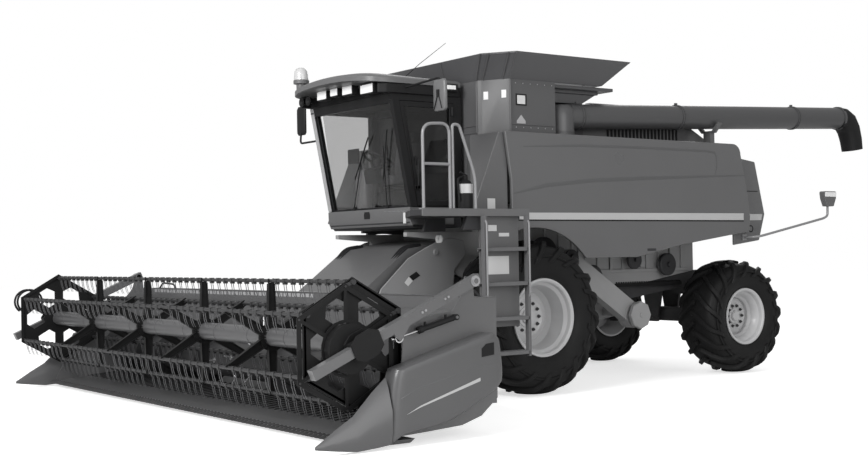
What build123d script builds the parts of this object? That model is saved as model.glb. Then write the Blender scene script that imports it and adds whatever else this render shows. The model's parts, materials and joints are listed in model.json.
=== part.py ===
"""Combine harvester with a grain header and a pickup reel.

Frame: +X forward, +Y to the driver's left, +Z up, millimetres, on level ground.
The origin lies on the ground, midway between the header's divider tips and the unloading spout.
Points in the tables below are (forward from the front axle, height) for side outlines,
(left, height) for cross outlines and (forward from the front axle, left) for plan outlines.
"""
from build123d import *
import os
from math import atan2, cos, hypot, pi, radians, sin, sqrt, tan

os.makedirs("parts", exist_ok=True)

# ---------------------------------------------------------------- driving sizes
divider_reach = 4270.0  # front axle to the divider tips
spout_reach = 6385.0  # front axle to the rear lip of the unloading spout
front_axle_x = (spout_reach - divider_reach) / 2
wheelbase = 3653.0
front_tyre_r = 895.0
front_tyre_w = 770.0
front_track_half = 1397.0
rear_tyre_r = 748.0
rear_tyre_w = 640.0
rear_track_half = 1272.0
front_rim_r = 432.0
rear_rim_r = 353.0
lug_height = 46.0
body_half = 1600.0  # outer face of the side panels
core_half = 720.0  # separator housing
tank_half = 1490.0
deck_z = 3030.0  # top edge of the side panels
tank_top_z = 3645.0
rim_top_z = 3920.0
clear = 6.0  # running gap between bodies that move on each other
fit = 0.05  # running gap of a shaft in its bore, on the radius
seat = 0.3  # gap between pieces that rest on each other or hang from each other
wall = 30.0  # body panel thickness, folded edges included
tube_r = 17.0  # handrail tube

# ---------------------------------------------------------------- plane and shape helpers


def side_plane(y):
    """Side view at y: local x is forward from the front axle, local y is height."""
    return Plane(origin=(front_axle_x, y, 0), x_dir=(1, 0, 0), z_dir=(0, -1, 0))


def cross_plane(x):
    """Cross section at x forward of the front axle: local x is left, local y is height."""
    return Plane(origin=(front_axle_x + x, 0, 0), x_dir=(0, 1, 0), z_dir=(1, 0, 0))


def level_plane(z):
    """Plan at height z: local x is forward from the front axle, local y is left."""
    return Plane(origin=(front_axle_x, 0, z), x_dir=(1, 0, 0), z_dir=(0, 0, 1))


def side_shape(points, y_low, y_high, mode=Mode.ADD):
    """Side outline through the body from y_low to y_high."""
    with BuildSketch(side_plane(y_high)) as outline:
        Polygon(*points, align=None)
    extrude(outline.sketch, amount=y_high - y_low, mode=mode)


def side_pair(points, y_low, y_high, mode=Mode.ADD):
    """The same side outline on the left and on the right."""
    side_shape(points, y_low, y_high, mode)
    side_shape(points, -y_high, -y_low, mode)


def cross_shape(points, x_low, x_high, mode=Mode.ADD):
    """Cross outline from x_low to x_high forward of the front axle."""
    with BuildSketch(cross_plane(x_low)) as outline:
        Polygon(*points, align=None)
    extrude(outline.sketch, amount=x_high - x_low, mode=mode)


def plan_shape(points, z_low, z_high, mode=Mode.ADD):
    """Plan outline from z_low up to z_high."""
    with BuildSketch(level_plane(z_low)) as outline:
        Polygon(*points, align=None)
    extrude(outline.sketch, amount=z_high - z_low, mode=mode)


def block(x_low, x_high, y_low, y_high, z_low, z_high, mode=Mode.ADD):
    """Square block between its six limits."""
    plan_shape([(x_low, y_low), (x_high, y_low), (x_high, y_high), (x_low, y_high)], z_low, z_high, mode)


def point(x, y, z):
    """A place given forward of the front axle, left and up."""
    return Vector(front_axle_x + x, y, z)


def disc_or_polygon(radius, sides, mode):
    """Round section, or a many-sided one: a shaft's corners lie on the circle, a bore's flats touch it."""
    if sides:
        adds = mode == Mode.ADD
        RegularPolygon(radius, sides, major_radius=adds, rotation=180 / sides if adds else 0)
    else:
        Circle(radius)


def rod(start, end, radius, sides=8, mode=Mode.ADD):
    """Straight bar between two places, many-sided unless sides is 0."""
    a = point(*start)
    b = point(*end)
    with BuildSketch(Plane(origin=a, z_dir=(b - a).normalized())) as section:
        disc_or_polygon(radius, sides, mode)
    extrude(section.sketch, amount=(b - a).length, mode=mode)


def bar(start, end, width, depth, up=(0, 0, 1), mode=Mode.ADD):
    """Square bar between two places; depth is measured towards up, width across it."""
    a = point(*start)
    b = point(*end)
    along = (b - a).normalized()
    across = Vector(*up).cross(along).normalized()
    with BuildSketch(Plane(origin=a, x_dir=across, z_dir=along)) as section:
        Rectangle(width, depth)
    extrude(section.sketch, amount=(b - a).length, mode=mode)


def cylinder_y(x, z, radius, y_low, y_high, mode=Mode.ADD, sides=12):
    """Round or many-sided piece across the machine, its centre at (x, z)."""
    with BuildSketch(side_plane(y_high)) as disc:
        with Locations((x, z)):
            disc_or_polygon(radius, sides, mode)
    extrude(disc.sketch, amount=y_high - y_low, mode=mode)


def cylinder_z(x, y, radius, z_low, z_high, mode=Mode.ADD, sides=12):
    """Upright round or many-sided piece, its centre at (x, y)."""
    with BuildSketch(level_plane(z_low)) as disc:
        with Locations((x, y)):
            disc_or_polygon(radius, sides, mode)
    extrude(disc.sketch, amount=z_high - z_low, mode=mode)


def faceted_loft(rings, turned=()):
    """Solid between rings of as many points, its sides in flat triangles, cut the other way on the turned sides."""
    faces = [Face(Wire.make_polygon(rings[0])), Face(Wire.make_polygon(rings[-1]))]
    corners = len(rings[0])
    for this, following in zip(rings, rings[1:]):
        for corner in range(corners):
            other = (corner + 1) % corners
            if corner in turned:
                faces.append(Face(Wire.make_polygon([this[corner], this[other], following[corner]])))
                faces.append(Face(Wire.make_polygon([this[other], following[other], following[corner]])))
            else:
                faces.append(Face(Wire.make_polygon([this[corner], this[other], following[other]])))
                faces.append(Face(Wire.make_polygon([this[corner], following[other], following[corner]])))
    return Solid(Shell(faces))


def finish(builder, label):
    """Name the finished piece and write its STEP file."""
    builder.part.label = label
    export_step(builder.part, "parts/" + label + ".step")


def mirrored(builder):
    """The finished piece on the other side of the machine."""
    return mirror(builder.part, about=Plane.XZ)


# ---------------------------------------------------------------- wheels
front_axle_z = front_tyre_r
rear_axle_z = rear_tyre_r
lug_front = -wheelbase + 163  # the plates that carry the rear axle's pivot, fore and aft of its beam
lug_back = -wheelbase - 247
lug_plate = 40.0

# tyre section: share of the half width, share of the way from the bead to the tread
tyre_section = [(0.86, 0.0), (0.86, 0.11), (1.0, 0.34), (0.98, 0.78), (0.88, 1.0)]
flange_share = 0.86
flange_height = 22.0
flange_wall = 10.0


def faceted_ring(axle_x, axle_z, outlines, sides):
    """Flat-sided turned ring: one sector of the closed (left, radius) outlines, repeated about the axle."""
    span = radians(180 / sides)
    reach = 2000.0
    with BuildPart() as sector:
        for outline in outlines:
            with BuildSketch(Plane(origin=(front_axle_x + axle_x, 0, axle_z), x_dir=(0, 1, 0), z_dir=(1, 0, 0))):
                Polygon(*[(y, r * cos(span)) for y, r in outline], align=None)
            extrude(amount=300, both=True)
        with BuildSketch(Plane(origin=(front_axle_x + axle_x, reach, axle_z), x_dir=(1, 0, 0), z_dir=(0, -1, 0))):
            Polygon((0, 0), (reach * sin(span), reach * cos(span)), (-reach * sin(span), reach * cos(span)),
                    align=None)
        extrude(amount=2 * reach, mode=Mode.INTERSECT)
    axis = Axis((front_axle_x + axle_x, 0, axle_z), (0, 1, 0))
    sectors = [sector.part.rotate(axis, 360 / sides * index) for index in range(sides)]
    return sectors[0].fuse(*sectors[1:])


def tyre(axle_x, axle_z, centre_y, radius, width, bead_r, lugs):
    """Tyre on a plain carcass with two rows of bent lugs, the left row half a pitch ahead."""
    tread_r = radius - lug_height
    half = width / 2
    right = [(centre_y - half * s, bead_r + (tread_r - bead_r) * r) for s, r in tyre_section]
    left = [(centre_y + half * s, bead_r + (tread_r - bead_r) * r) for s, r in reversed(tyre_section)]
    sides = lugs
    bead = 1 / cos(pi / sides)
    right[0] = (right[0][0], right[0][1] * bead)
    left[-1] = (left[-1][0], left[-1][1] * bead)
    carcass = faceted_ring(axle_x, axle_z, [right + left], sides)
    pitch = 2 * pi * radius / lugs
    thick = 0.32 * pitch
    # one lug seen from above: (share of the half width, share of the pitch back)
    lug = [(-0.03, -0.02), (0.50, 0.36), (0.985, 0.52)]
    shift = 0.25 * pitch
    top_z = axle_z + sqrt(radius**2 - (0.4 * pitch)**2)
    foot_z = axle_z + tread_r * cos(1.6 * pi / lugs) - 55
    near = [(shift + thick / 2 - pitch * back, half * share) for share, back in lug]
    far = [(shift - thick / 2 - pitch * back, half * share) for share, back in lug]
    with BuildPart() as lug_piece:
        with BuildSketch(Plane(origin=(front_axle_x + axle_x, centre_y, foot_z), x_dir=(1, 0, 0), z_dir=(0, 0, 1))):
            Polygon(*near, *reversed(far), align=None)
        extrude(amount=top_z - foot_z)
        shoulder = [(half * 0.84, top_z - axle_z + 1), (half * 1.3, top_z - axle_z + 1),
                    (half * 1.3, top_z - axle_z - 250), (half * 0.99, top_z - axle_z - 90)]
        with BuildSketch(Plane(origin=(front_axle_x + axle_x, centre_y, axle_z), x_dir=(0, 1, 0), z_dir=(1, 0, 0))):
            Polygon(*shoulder, align=None)
        extrude(amount=600, both=True, mode=Mode.SUBTRACT)
    one = lug_piece.part
    other = mirror(one, about=Plane.XZ.offset(-centre_y))
    axis = Axis((front_axle_x + axle_x, 0, axle_z), (0, 1, 0))
    step = 360.0 / lugs
    pieces = []
    for index in range(lugs):
        pieces.append(one.rotate(axis, step * index))
        pieces.append(other.rotate(axis, step * (index + 0.5)))
    return carcass.fuse(*pieces)


# name, axle x, axle z, centre y, tyre radius, tyre width, rim radius, lugs a row, hub face y
wheel_table = [
    ("front", 0.0, front_axle_z, front_track_half, front_tyre_r, front_tyre_w, front_rim_r, 19, 1400.0),
    ("rear", -wheelbase, rear_axle_z, rear_track_half, rear_tyre_r, rear_tyre_w, rear_rim_r, 17, 1330.0),
]
hub_r = 150.0
hub_bore_r = 70.0
rim_sides = 16
disc_wall = 16.0
for name, axle_x, axle_z, centre_y, radius, width, rim_r, lugs, hub_y in wheel_table:
    bead_r = rim_r - flange_height
    left_tyre = tyre(axle_x, axle_z, centre_y, radius, width, bead_r, lugs)
    half = width / 2
    face = half * flange_share + 2 * seat
    seat_r = bead_r - seat
    # half of the barrel's section: (left of the centre, radius), round from the flange to the drop centre
    barrel = [(face, rim_r), (face + flange_wall, rim_r), (face + flange_wall, rim_r - 26),
              (half * 0.46, seat_r - 52)]
    inner = [(-y, r) for y, r in reversed(barrel)]
    section = barrel + inner + [(-face, seat_r), (face, seat_r)]
    section = [(centre_y + y, r) for y, r in section]
    disc_y = hub_y - centre_y
    disc = [(centre_y + y, r) for y, r in
            [(half * 0.40, seat_r - 40), (half * 0.33, seat_r - 56), (disc_y, hub_r + 52), (disc_y, hub_r - 60),
             (disc_y - disc_wall, hub_r - 60), (disc_y - disc_wall, hub_r + 60), (half * 0.22, seat_r - 40)]]
    ring = faceted_ring(axle_x, axle_z, [section, disc], rim_sides)
    with BuildPart() as rim:
        add(ring)
        cylinder_y(axle_x, axle_z, hub_r, hub_y - 2 * disc_wall, hub_y, sides=16)
        cylinder_y(axle_x, axle_z, hub_bore_r + fit, hub_y - 200, hub_y + 200, Mode.SUBTRACT)
    for side in ("left", "right"):
        tyre_part = left_tyre if side == "left" else mirror(left_tyre, about=Plane.XZ)
        rim_part = rim.part if side == "left" else mirrored(rim)
        tyre_part.label = side + "_" + name + "_tyre"
        rim_part.label = side + "_" + name + "_rim"
        export_step(tyre_part, "parts/" + tyre_part.label + ".step")
        export_step(rim_part, "parts/" + rim_part.label + ".step")

# ---------------------------------------------------------------- chassis and axles
lift_base = (260.0, 800.0)  # header lift cylinder's foot pin: forward, height
lift_eye = (1340.0, 900.0)
lift_y = 475.0
lift_pin_r = 20.0
lift_barrel_r = 52.0
lift_rod_r = 28.0
ear_gap = lift_barrel_r + 8  # half the space between a pair of ear plates
rail_low = 1010.0
rail_high = 1180.0
rail_rear = 1360.0  # top of the rails over the rear axle
rail_in = 560.0
rail_out = 660.0
front_beam_low = 770.0
axle_end_y = rail_out + clear
axle_pivot_r = 60.0
hitch_pin_r = 16.0
final_drive_r = 250.0

with BuildPart() as chassis_frame:
    side_pair([(330, rail_low), (330, rail_high), (-2400, rail_high), (-wheelbase + 93, rail_rear),
               (lug_back, rail_rear), (lug_back, rail_rear - 160), (-2400, rail_low)], rail_in, rail_out)
    # cross members: rear end, front end, depth
    for x_low, x_high, z_low, z_high in [(lug_back, lug_back + 100, 1190, 1320),
                                         (lug_back + 180, -wheelbase + 67, 1030, 1330),
                                         (-2480, -2400, 1040, 1160), (-120, 120, rail_low, rail_high)]:
        block(x_low, x_high, -rail_in, rail_in, z_low, z_high)
    # rear axle pivot lugs, fore and aft of the beam
    for x_low, x_high in ((lug_back, lug_back + lug_plate), (lug_front - lug_plate, lug_front)):
        cross_shape([(-90, 640), (90, 640), (200, 1200), (-200, 1200)], x_low, x_high)
    block(lug_back, lug_front, -200, 200, 1160, 1200)
    rod((lug_back - 100, 0, rear_axle_z), (lug_front + 90, 0, rear_axle_z), axle_pivot_r + fit, 12, Mode.SUBTRACT)
    # towing hitch plates
    for z_low in (1150.0, 1230.0):
        block(lug_back - 120, lug_back + 20, -70, 70, z_low, z_low + 20)
    cylinder_z(lug_back - 80, 0, hitch_pin_r, 1100, 1300, Mode.SUBTRACT, sides=0)
finish(chassis_frame, "chassis_frame")

with BuildPart() as front_axle:
    block(-140, 140, -axle_end_y - 5, axle_end_y + 5, front_beam_low, rail_low)
    for sign in (1, -1):
        y_low, y_high = sorted((sign * axle_end_y, sign * 1010))
        cylinder_y(0, front_axle_z, final_drive_r, y_low, y_high, sides=16)
        y_low, y_high = sorted((sign * 1010, sign * (1400 - 2 * disc_wall - seat)))
        cylinder_y(0, front_axle_z, hub_r - 10, y_low, y_high)
        y_low, y_high = sorted((sign * 1300, sign * 1440))
        cylinder_y(0, front_axle_z, hub_bore_r, y_low, y_high)
        # lift cylinder brackets on the beam's front
        for ear_y in (lift_y - ear_gap - 20, lift_y + ear_gap):
            y_low, y_high = sorted((sign * ear_y, sign * (ear_y + 20)))
            side_shape([(130, 780), (130, 960), (300, 840), (330, 760), (250, 700)], y_low, y_high)
        cylinder_y(*lift_base, lift_pin_r, *sorted((sign * (lift_y - ear_gap - 1), sign * (lift_y + ear_gap + 1))))
finish(front_axle, "front_axle")

kingpin_y = 850.0
kingpin_r = 35.0
rear_beam_half = 95.0
with BuildPart() as rear_axle:
    block(-wheelbase - 105, -wheelbase + 105, -kingpin_y + 60, kingpin_y - 60, rear_axle_z - rear_beam_half,
          rear_axle_z + rear_beam_half)
    for sign in (1, -1):
        cylinder_z(-wheelbase, sign * kingpin_y, 75, rear_axle_z - rear_beam_half, rear_axle_z + rear_beam_half,
                   sides=8)
        cylinder_z(-wheelbase, sign * kingpin_y, kingpin_r + fit, 0, 2000, Mode.SUBTRACT)
    rod((lug_back, 0, rear_axle_z), (lug_front, 0, rear_axle_z), axle_pivot_r, 12)
    # steering cylinder on the beam's rear
    block(-wheelbase - 190, -wheelbase - 95, -300, 300, rear_axle_z - 40, rear_axle_z + 50)
finish(rear_axle, "rear_axle")

with BuildPart() as left_knuckle:
    ear_low = rear_axle_z - rear_beam_half - clear
    ear_high = rear_axle_z + rear_beam_half + clear
    for z_low in (ear_low - 35, ear_high):
        cylinder_z(-wheelbase, kingpin_y, 72, z_low, z_low + 35, sides=8)
        block(-wheelbase - 65, -wheelbase + 65, kingpin_y, kingpin_y + 110, z_low, z_low + 35)
    block(-wheelbase - 65, -wheelbase + 65, kingpin_y + 85, kingpin_y + 115, ear_low - 35, ear_high + 35)
    cylinder_z(-wheelbase, kingpin_y, kingpin_r, ear_low - 30, ear_high + 30)
    cylinder_y(-wheelbase, rear_axle_z, 120, kingpin_y + 110, 1330 - 2 * disc_wall - seat)
    cylinder_y(-wheelbase, rear_axle_z, hub_bore_r, 1290, 1365)
finish(left_knuckle, "left_knuckle")
right_knuckle = mirrored(left_knuckle)
right_knuckle.label = "right_knuckle"
export_step(right_knuckle, "parts/right_knuckle.step")

# ---------------------------------------------------------------- separator, shoe and hood
pivot_x = 550.0  # feeder house top shaft
pivot_z = 1550.0
feeder_drum_r = 255.0
feeder_shaft_r = 45.0
feeder_half = 700.0
bearer_low = 1900.0  # underside of the platform's bearers
core_front = pivot_x - feeder_drum_r - 45
floor_low = 1950.0  # underside of the cab base
core_top = 2240.0
core_rear = -wheelbase + 93  # the separator ends just ahead of the rear axle
with BuildPart() as separator_body:
    side_shape([(core_front, rail_high), (core_front, floor_low), (core_front, core_top),
                (core_rear + 110, core_top), (core_rear, 2000), (core_rear, rail_rear), (-2400, rail_high)],
               -core_half, core_half)
    side_shape([(core_front, rail_high), (-2400, rail_high), (-2400, rail_low - 60), (core_front, rail_low)],
               -rail_in, rail_in)
    block(-140, 140, -rail_in - 1, rail_in + 1, rail_low - 80, rail_high, Mode.SUBTRACT)
    block(-2490, -2390, -rail_in - 1, rail_in + 1, 900, rail_high, Mode.SUBTRACT)
    # side plates that carry the feeder house's shaft and the platform's bearers
    side_pair([(100, 1300), (100, bearer_low - seat), (1240, bearer_low - seat), (1240, 1850), (760, 1810),
               (pivot_x + 110, 1450), (300, 1300)], feeder_half + 2 * clear, feeder_half + 80)
    cylinder_y(pivot_x, pivot_z, feeder_shaft_r + fit, -900, 900, Mode.SUBTRACT)
    # stiffening ribs down both sides
    for rib_x in (-350, -900, -1450, -2000, -2550, -3100):
        for sign in (1, -1):
            y_low, y_high = sorted((sign * core_half, sign * (core_half + 30)))
            block(rib_x - 20, rib_x + 20, y_low, y_high, 1420, core_top)
finish(separator_body, "separator_body")

def body_floor(x):
    """Height of the separator body's underside between the rails."""
    return rail_low - 60 * (core_front - x) / (core_front + 2400)


with BuildPart() as cleaning_shoe:
    side_shape([(-300, body_floor(-300) - seat), (-300, 860), (-700, 760), (-1150, 740), (-1500, 800), (-1950, 740),
                (-2250, 790), (-2350, 900), (-2350, body_floor(-2350) - seat)], -rail_in + seat, rail_in - seat)
finish(cleaning_shoe, "cleaning_shoe")

hood_half = 1500.0
engine_rear = -3420.0  # rear wall of the engine hood
with BuildPart() as rear_hood:
    side_shape([(engine_rear - seat, 2870), (-3950, 2800), (-4130, 2100), (-4010, 1750), (-3500, 1690),
                (-3500, 2240), (engine_rear - seat, 2260)], -hood_half, hood_half)
    side_shape([(-3400, 2870 - wall), (-3940, 2800 - wall), (-4130 + wall, 2100), (-4015 + wall, 1500),
                (-3400, 1500)], -hood_half + wall, hood_half - wall, Mode.SUBTRACT)
finish(rear_hood, "rear_hood")

# ---------------------------------------------------------------- elevators at the sides of the shoe
with BuildPart() as elevators:
    # return elevator on the left, clean grain elevator on the right: legs, boots and their drives
    bar((-950, 1010, 1560), (-2080, 1010, 820), 150, 270)
    cylinder_y(-2080, 820, 165, 925, 1095, sides=16)
    block(-2170, -2000, rail_in, 930, 800, 880)
    bar((-1180, -960, 800), (-990, -960, 2230), 150, 290)
    cylinder_y(-1180, 800, 165, -1040, -880, sides=16)
    block(-1270, -1090, -890, -rail_in, 770, 860)
finish(elevators, "elevators")

# ---------------------------------------------------------------- grain tank and its extension
turret_x = -640.0
turret_y = 1330.0
turret_r = 175.0
auger_tube_r = 152.0
auger_rise = radians(2.5)
elbow_z = 3262.0
tube_end_x = -5960.0
tube_end_z = elbow_z + (turret_x - tube_end_x) * tan(auger_rise)


def tube_z(x):
    """Height of the unloading tube's centre line."""
    return elbow_z + (turret_x - x) * tan(auger_rise)


saddle_x = -3250.0
panel_skin = 45.0
panel_hinge_z = deck_z + 20
hinge_rail = [1532.0, body_half - panel_skin - seat]  # the panels' hinge rail, inner and outer face


def hinge_rails(x_low, x_high, carrier_y, brackets):
    """Rails that the side panels hang from, on brackets from what carries them."""
    for sign in (1, -1):
        block(x_low, x_high, *sorted((sign * hinge_rail[0], sign * hinge_rail[1])), 2930, 2975)
        for bracket_x in brackets:
            block(bracket_x, bracket_x + 60, *sorted((sign * carrier_y, sign * (hinge_rail[0] + 1))), 2930, 2975)


tank_front = 470.0
tank_rear = -1190.0
tank_inset_x = -430.0  # behind it the tank's left side steps in to clear the unloading auger
tank_inset_y = 1130.0
corner_cut_x = 250.0
corner_cut_y = 1150.0
with BuildPart() as grain_tank:
    # cross outline of the hopper: (left, height)
    cross_shape([(-core_half, core_top), (core_half, core_top), (tank_half, deck_z - 150), (tank_half, tank_top_z),
                 (-tank_half, tank_top_z), (-tank_half, deck_z - 150)], tank_rear, tank_front)
    cross_shape([(-core_half + 60, core_top + 40), (core_half - 60, core_top + 40),
                 (tank_half - wall, deck_z - 110), (tank_half - wall, tank_top_z + 1),
                 (-tank_half + wall, tank_top_z + 1), (-tank_half + wall, deck_z - 110)],
                tank_rear + wall, tank_front - wall, Mode.SUBTRACT)
    # bevelled front corners
    for sign in (1, -1):
        plan_shape([(corner_cut_x, sign * (tank_half + 1)), (tank_front + 1, sign * (tank_half + 1)),
                    (tank_front + 1, sign * corner_cut_y)], core_top, tank_top_z + 1, Mode.SUBTRACT)
        plan_shape([(corner_cut_x - 1.2 * wall, sign * (tank_half - wall / 2)),
                    (corner_cut_x, sign * (tank_half)), (tank_front, sign * corner_cut_y),
                    (tank_front - wall, sign * corner_cut_y)], deck_z - 110, tank_top_z)
    block(tank_rear - 1, tank_inset_x, tank_inset_y, tank_half + 1, deck_z - 180, tank_top_z + 1, Mode.SUBTRACT)
    block(tank_inset_x, tank_inset_x + wall, tank_inset_y - 5, tank_half, deck_z - 180, tank_top_z)
    block(tank_rear, tank_inset_x + wall, tank_inset_y - wall, tank_inset_y, deck_z - 400, tank_top_z)
    block(tank_rear, tank_inset_x + 5, tank_inset_y - 5, tank_half, deck_z - 180 - wall, deck_z - 180)
    # the unloading auger's turret in its pocket
    cylinder_z(turret_x, turret_y, turret_r, deck_z - 180, 3060, sides=16)
    hinge_rails(-380, 300, tank_half - 5, (-300, 180))
finish(grain_tank, "grain_tank")

# plan outlines of the extension's lower and upper edge: (forward, left)
extension_low = [(tank_front, corner_cut_y), (corner_cut_x, tank_half), (tank_rear, tank_half)]
extension_high = [(600, 1390), (350, 1750), (-1430, 1750)]
sheet = 16.0


def both_sides(points):
    """A plan outline closed by its mirror image."""
    return points + [(x, -y) for x, y in reversed(points)]


def extension_ring(points, inset, height):
    """An edge outline of the flared hopper, moved inwards by the sheet's thickness."""
    with BuildSketch() as edge:
        Polygon(*both_sides(points), align=None)
        if inset:
            offset(amount=-inset, kind=Kind.INTERSECTION)
    corners = edge.sketch.faces()[0].outer_wire().order_edges()
    return [point(e.position_at(0).X, e.position_at(0).Y, height) for e in corners]


outer_shell = faceted_loft([extension_ring(extension_low, 0, tank_top_z),
                            extension_ring(extension_high, 0, rim_top_z)])
inner_shell = faceted_loft([extension_ring(extension_low, 2 * sheet, tank_top_z),
                            extension_ring(extension_high, 2 * sheet, rim_top_z)])
with BuildPart() as tank_extension:
    add(outer_shell)
    add(inner_shell, mode=Mode.SUBTRACT)
finish(tank_extension, "tank_extension")

# ---------------------------------------------------------------- engine deck
hood_z = 3420.0
engine_half = 1090.0
screen_x0 = -2800.0  # air screen: forward, height, radius
screen_z = 2600.0
screen_r = 430.0
spindle_r = 30.0
with BuildPart() as engine_hood:
    hood_out = [(-1230, core_top), (-1230, 3330), (-1900, hood_z), (-2900, hood_z - 40), (engine_rear, 3120),
                (engine_rear, core_top)]
    hood_in = [(-1230 - wall, core_top - 1), (-1230 - wall, 3330 - wall), (-1900, hood_z - wall),
               (-2900, hood_z - 40 - wall), (engine_rear + wall, 3120 - wall / 2),
               (engine_rear + wall, core_top - 1)]
    side_shape(hood_out, -engine_half, engine_half)
    side_shape(hood_in, -engine_half + wall, engine_half - wall, Mode.SUBTRACT)
    block(tank_rear - 2240, -1235, engine_half - 5, 1530, 2900, 2900 + wall)
    block(tank_rear - 2240, -1235, -1530, -engine_half + 5, 2900, 2900 + wall)
    # air intake on the right: opening, drum and the screen's spindle on its cross bar
    cylinder_y(screen_x0, screen_z, screen_r + 50, -1531, -engine_half - 1, Mode.SUBTRACT, sides=20)
    cylinder_y(screen_x0, screen_z, screen_r, -engine_half - 150, -engine_half + 1, sides=20)
    cylinder_y(screen_x0, screen_z, screen_r - 45, -engine_half - 151, -engine_half + wall + 1, Mode.SUBTRACT, sides=20)
    block(screen_x0 - screen_r + 10, screen_x0 + screen_r - 10, -engine_half - 60, -engine_half - 30,
          screen_z - 20, screen_z + 20)
    cylinder_y(screen_x0, screen_z, spindle_r, -engine_half - 200, -engine_half - 30)
    hinge_rails(-3400, -1290, 1525, (-3300, -2300, -1350))
    # saddle that the stowed auger rests over
    block(saddle_x - 40, saddle_x + 40, turret_y - 60, turret_y + 60, 2925, tube_z(saddle_x) - auger_tube_r - 45)
    cradle = [(-185, -80), (-85, -auger_tube_r - 30), (85, -auger_tube_r - 30), (185, -80),
              (200, -90), (95, -auger_tube_r - 55), (-95, -auger_tube_r - 55), (-200, -90)]
    cross_shape([(turret_y + y, tube_z(saddle_x) + z) for y, z in cradle], saddle_x - 40, saddle_x + 40)
finish(engine_hood, "engine_hood")

with BuildPart() as engine_block:
    block(-3200, -2300, -700, 450, core_top, 3050)
finish(engine_block, "engine_block")

with BuildPart() as rotary_screen:
    screen_in = -engine_half - 150 - clear
    cylinder_y(screen_x0, screen_z, screen_r - 5, screen_in - 44, screen_in, sides=20)
    cylinder_y(screen_x0, screen_z, screen_r - 35, screen_in - 30, screen_in + 1, Mode.SUBTRACT, sides=20)
    cylinder_y(screen_x0, screen_z, spindle_r + fit, screen_in - 100, 0, Mode.SUBTRACT)
finish(rotary_screen, "rotary_screen")

# ---------------------------------------------------------------- side panels
arch_r = 1030.0
# side outline of the opening panel, clockwise from the top front corner, without the wheel arch
panel_outline = [(430, deck_z), (345, 2480), (335, 1300), (-700, 1300), (-700, 1577), (-1640, 1563), (-2430, 1705),
                 (-2850, 1760), (-3480, 1840), (-3480, deck_z - 15)]


def side_panel(screen):
    """Opening side panel of the left side: one outline with the wheel arch cut from it, and a folded top edge."""
    side_shape(panel_outline, body_half - panel_skin, body_half)
    cylinder_y(0, front_axle_z, arch_r, body_half - panel_skin - 1, body_half + 1, Mode.SUBTRACT)
    side_shape([(260, 1200), (260, 1935), (500, 1935), (500, 1200)], body_half - 100, body_half + 1, Mode.SUBTRACT)
    if screen:
        cylinder_y(screen_x0, screen_z, screen_r + 25, body_half - 100, body_half + 1, Mode.SUBTRACT, sides=20)


with BuildPart() as left_side_panel:
    side_panel(False)
finish(left_side_panel, "left_side_panel")
with BuildPart() as right_panel_mould:
    side_panel(True)
right_side_panel = mirrored(right_panel_mould)
right_side_panel.label = "right_side_panel"
export_step(right_side_panel, "parts/right_side_panel.step")

# the wedge beside the cab, each corner at its foot and its head: (forward, left, height)
corner_in_y = 1010.0
corner_out_y = body_half - panel_skin - clear
corner_foot = [(365, corner_out_y, 2060), (890, corner_out_y, 2060), (620, corner_in_y, 2060),
               (365, corner_in_y, 2060)]
corner_head = [(365, corner_out_y, 3020), (480, corner_out_y, 3020), (tank_front + 12, corner_in_y, 3020),
               (365, corner_in_y, 3020)]
wedge = faceted_loft([[point(*corner) for corner in corner_foot], [point(*corner) for corner in corner_head]])
with BuildPart() as front_corner_panels:
    add(wedge)
    add(grain_tank.part, mode=Mode.SUBTRACT)
    cross_shape([(-core_half, core_top), (core_half, core_top), (tank_half, deck_z - 150), (tank_half, tank_top_z),
                 (0, tank_top_z)], 0, tank_front, Mode.SUBTRACT)
    mirror(about=Plane.XZ)
finish(front_corner_panels, "front_corner_panels")

# ---------------------------------------------------------------- cab
cab_half = 900.0
cab_rear = 520.0
cab_low_x = 1255.0  # windscreen foot
cab_high_x = 1500.0  # windscreen head
sill_z = 2190.0
head_z = 3470.0
post = 70.0
glass = 8.0


def screen_x(z):
    """How far forward the windscreen's outer face is at height z."""
    return cab_low_x + (cab_high_x - cab_low_x) * (z - sill_z) / (head_z - sill_z)


with BuildPart() as cab_floor:
    side_shape([(cab_rear, floor_low), (cab_low_x - 60, floor_low), (cab_low_x, floor_low + 60), (cab_low_x, sill_z),
                (cab_rear, sill_z)], -cab_half + 30, cab_half - 30)
    block(cab_rear + 60, cab_low_x - 40, -cab_half + 100, cab_half - 100, floor_low + 90, sill_z + 1, Mode.SUBTRACT)
finish(cab_floor, "cab_floor")

with BuildPart() as cab_frame:
    for sign in (1, -1):
        y_low, y_high = sorted((sign * (cab_half - post), sign * cab_half))
        # front post, rear post, roof rail and sill rail of each side
        side_shape([(cab_low_x - 90, sill_z), (cab_low_x, sill_z), (cab_high_x, head_z), (cab_high_x - 90, head_z)],
                   y_low, y_high)
        block(cab_rear, cab_rear + 110, y_low, y_high, sill_z, head_z)
        block(cab_rear, cab_high_x - 5, y_low, y_high, head_z - 70, head_z)
    block(cab_rear, cab_rear + 60, -cab_half + 10, cab_half - 10, sill_z, sill_z + 420)
    block(cab_rear, cab_rear + 60, -cab_half + 10, cab_half - 10, head_z - 90, head_z)
    side_shape([(screen_x(head_z - 100) - 60, head_z - 100), (screen_x(head_z - 100) - 2, head_z - 100),
                (cab_high_x, head_z), (cab_high_x - 60, head_z)], -cab_half + 5, cab_half - 5)
    # waist rail and middle post of the right side
    block(cab_rear + 100, cab_low_x - 40, -cab_half, -cab_half + 40, sill_z, sill_z + 60)
finish(cab_frame, "cab_frame")

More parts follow.
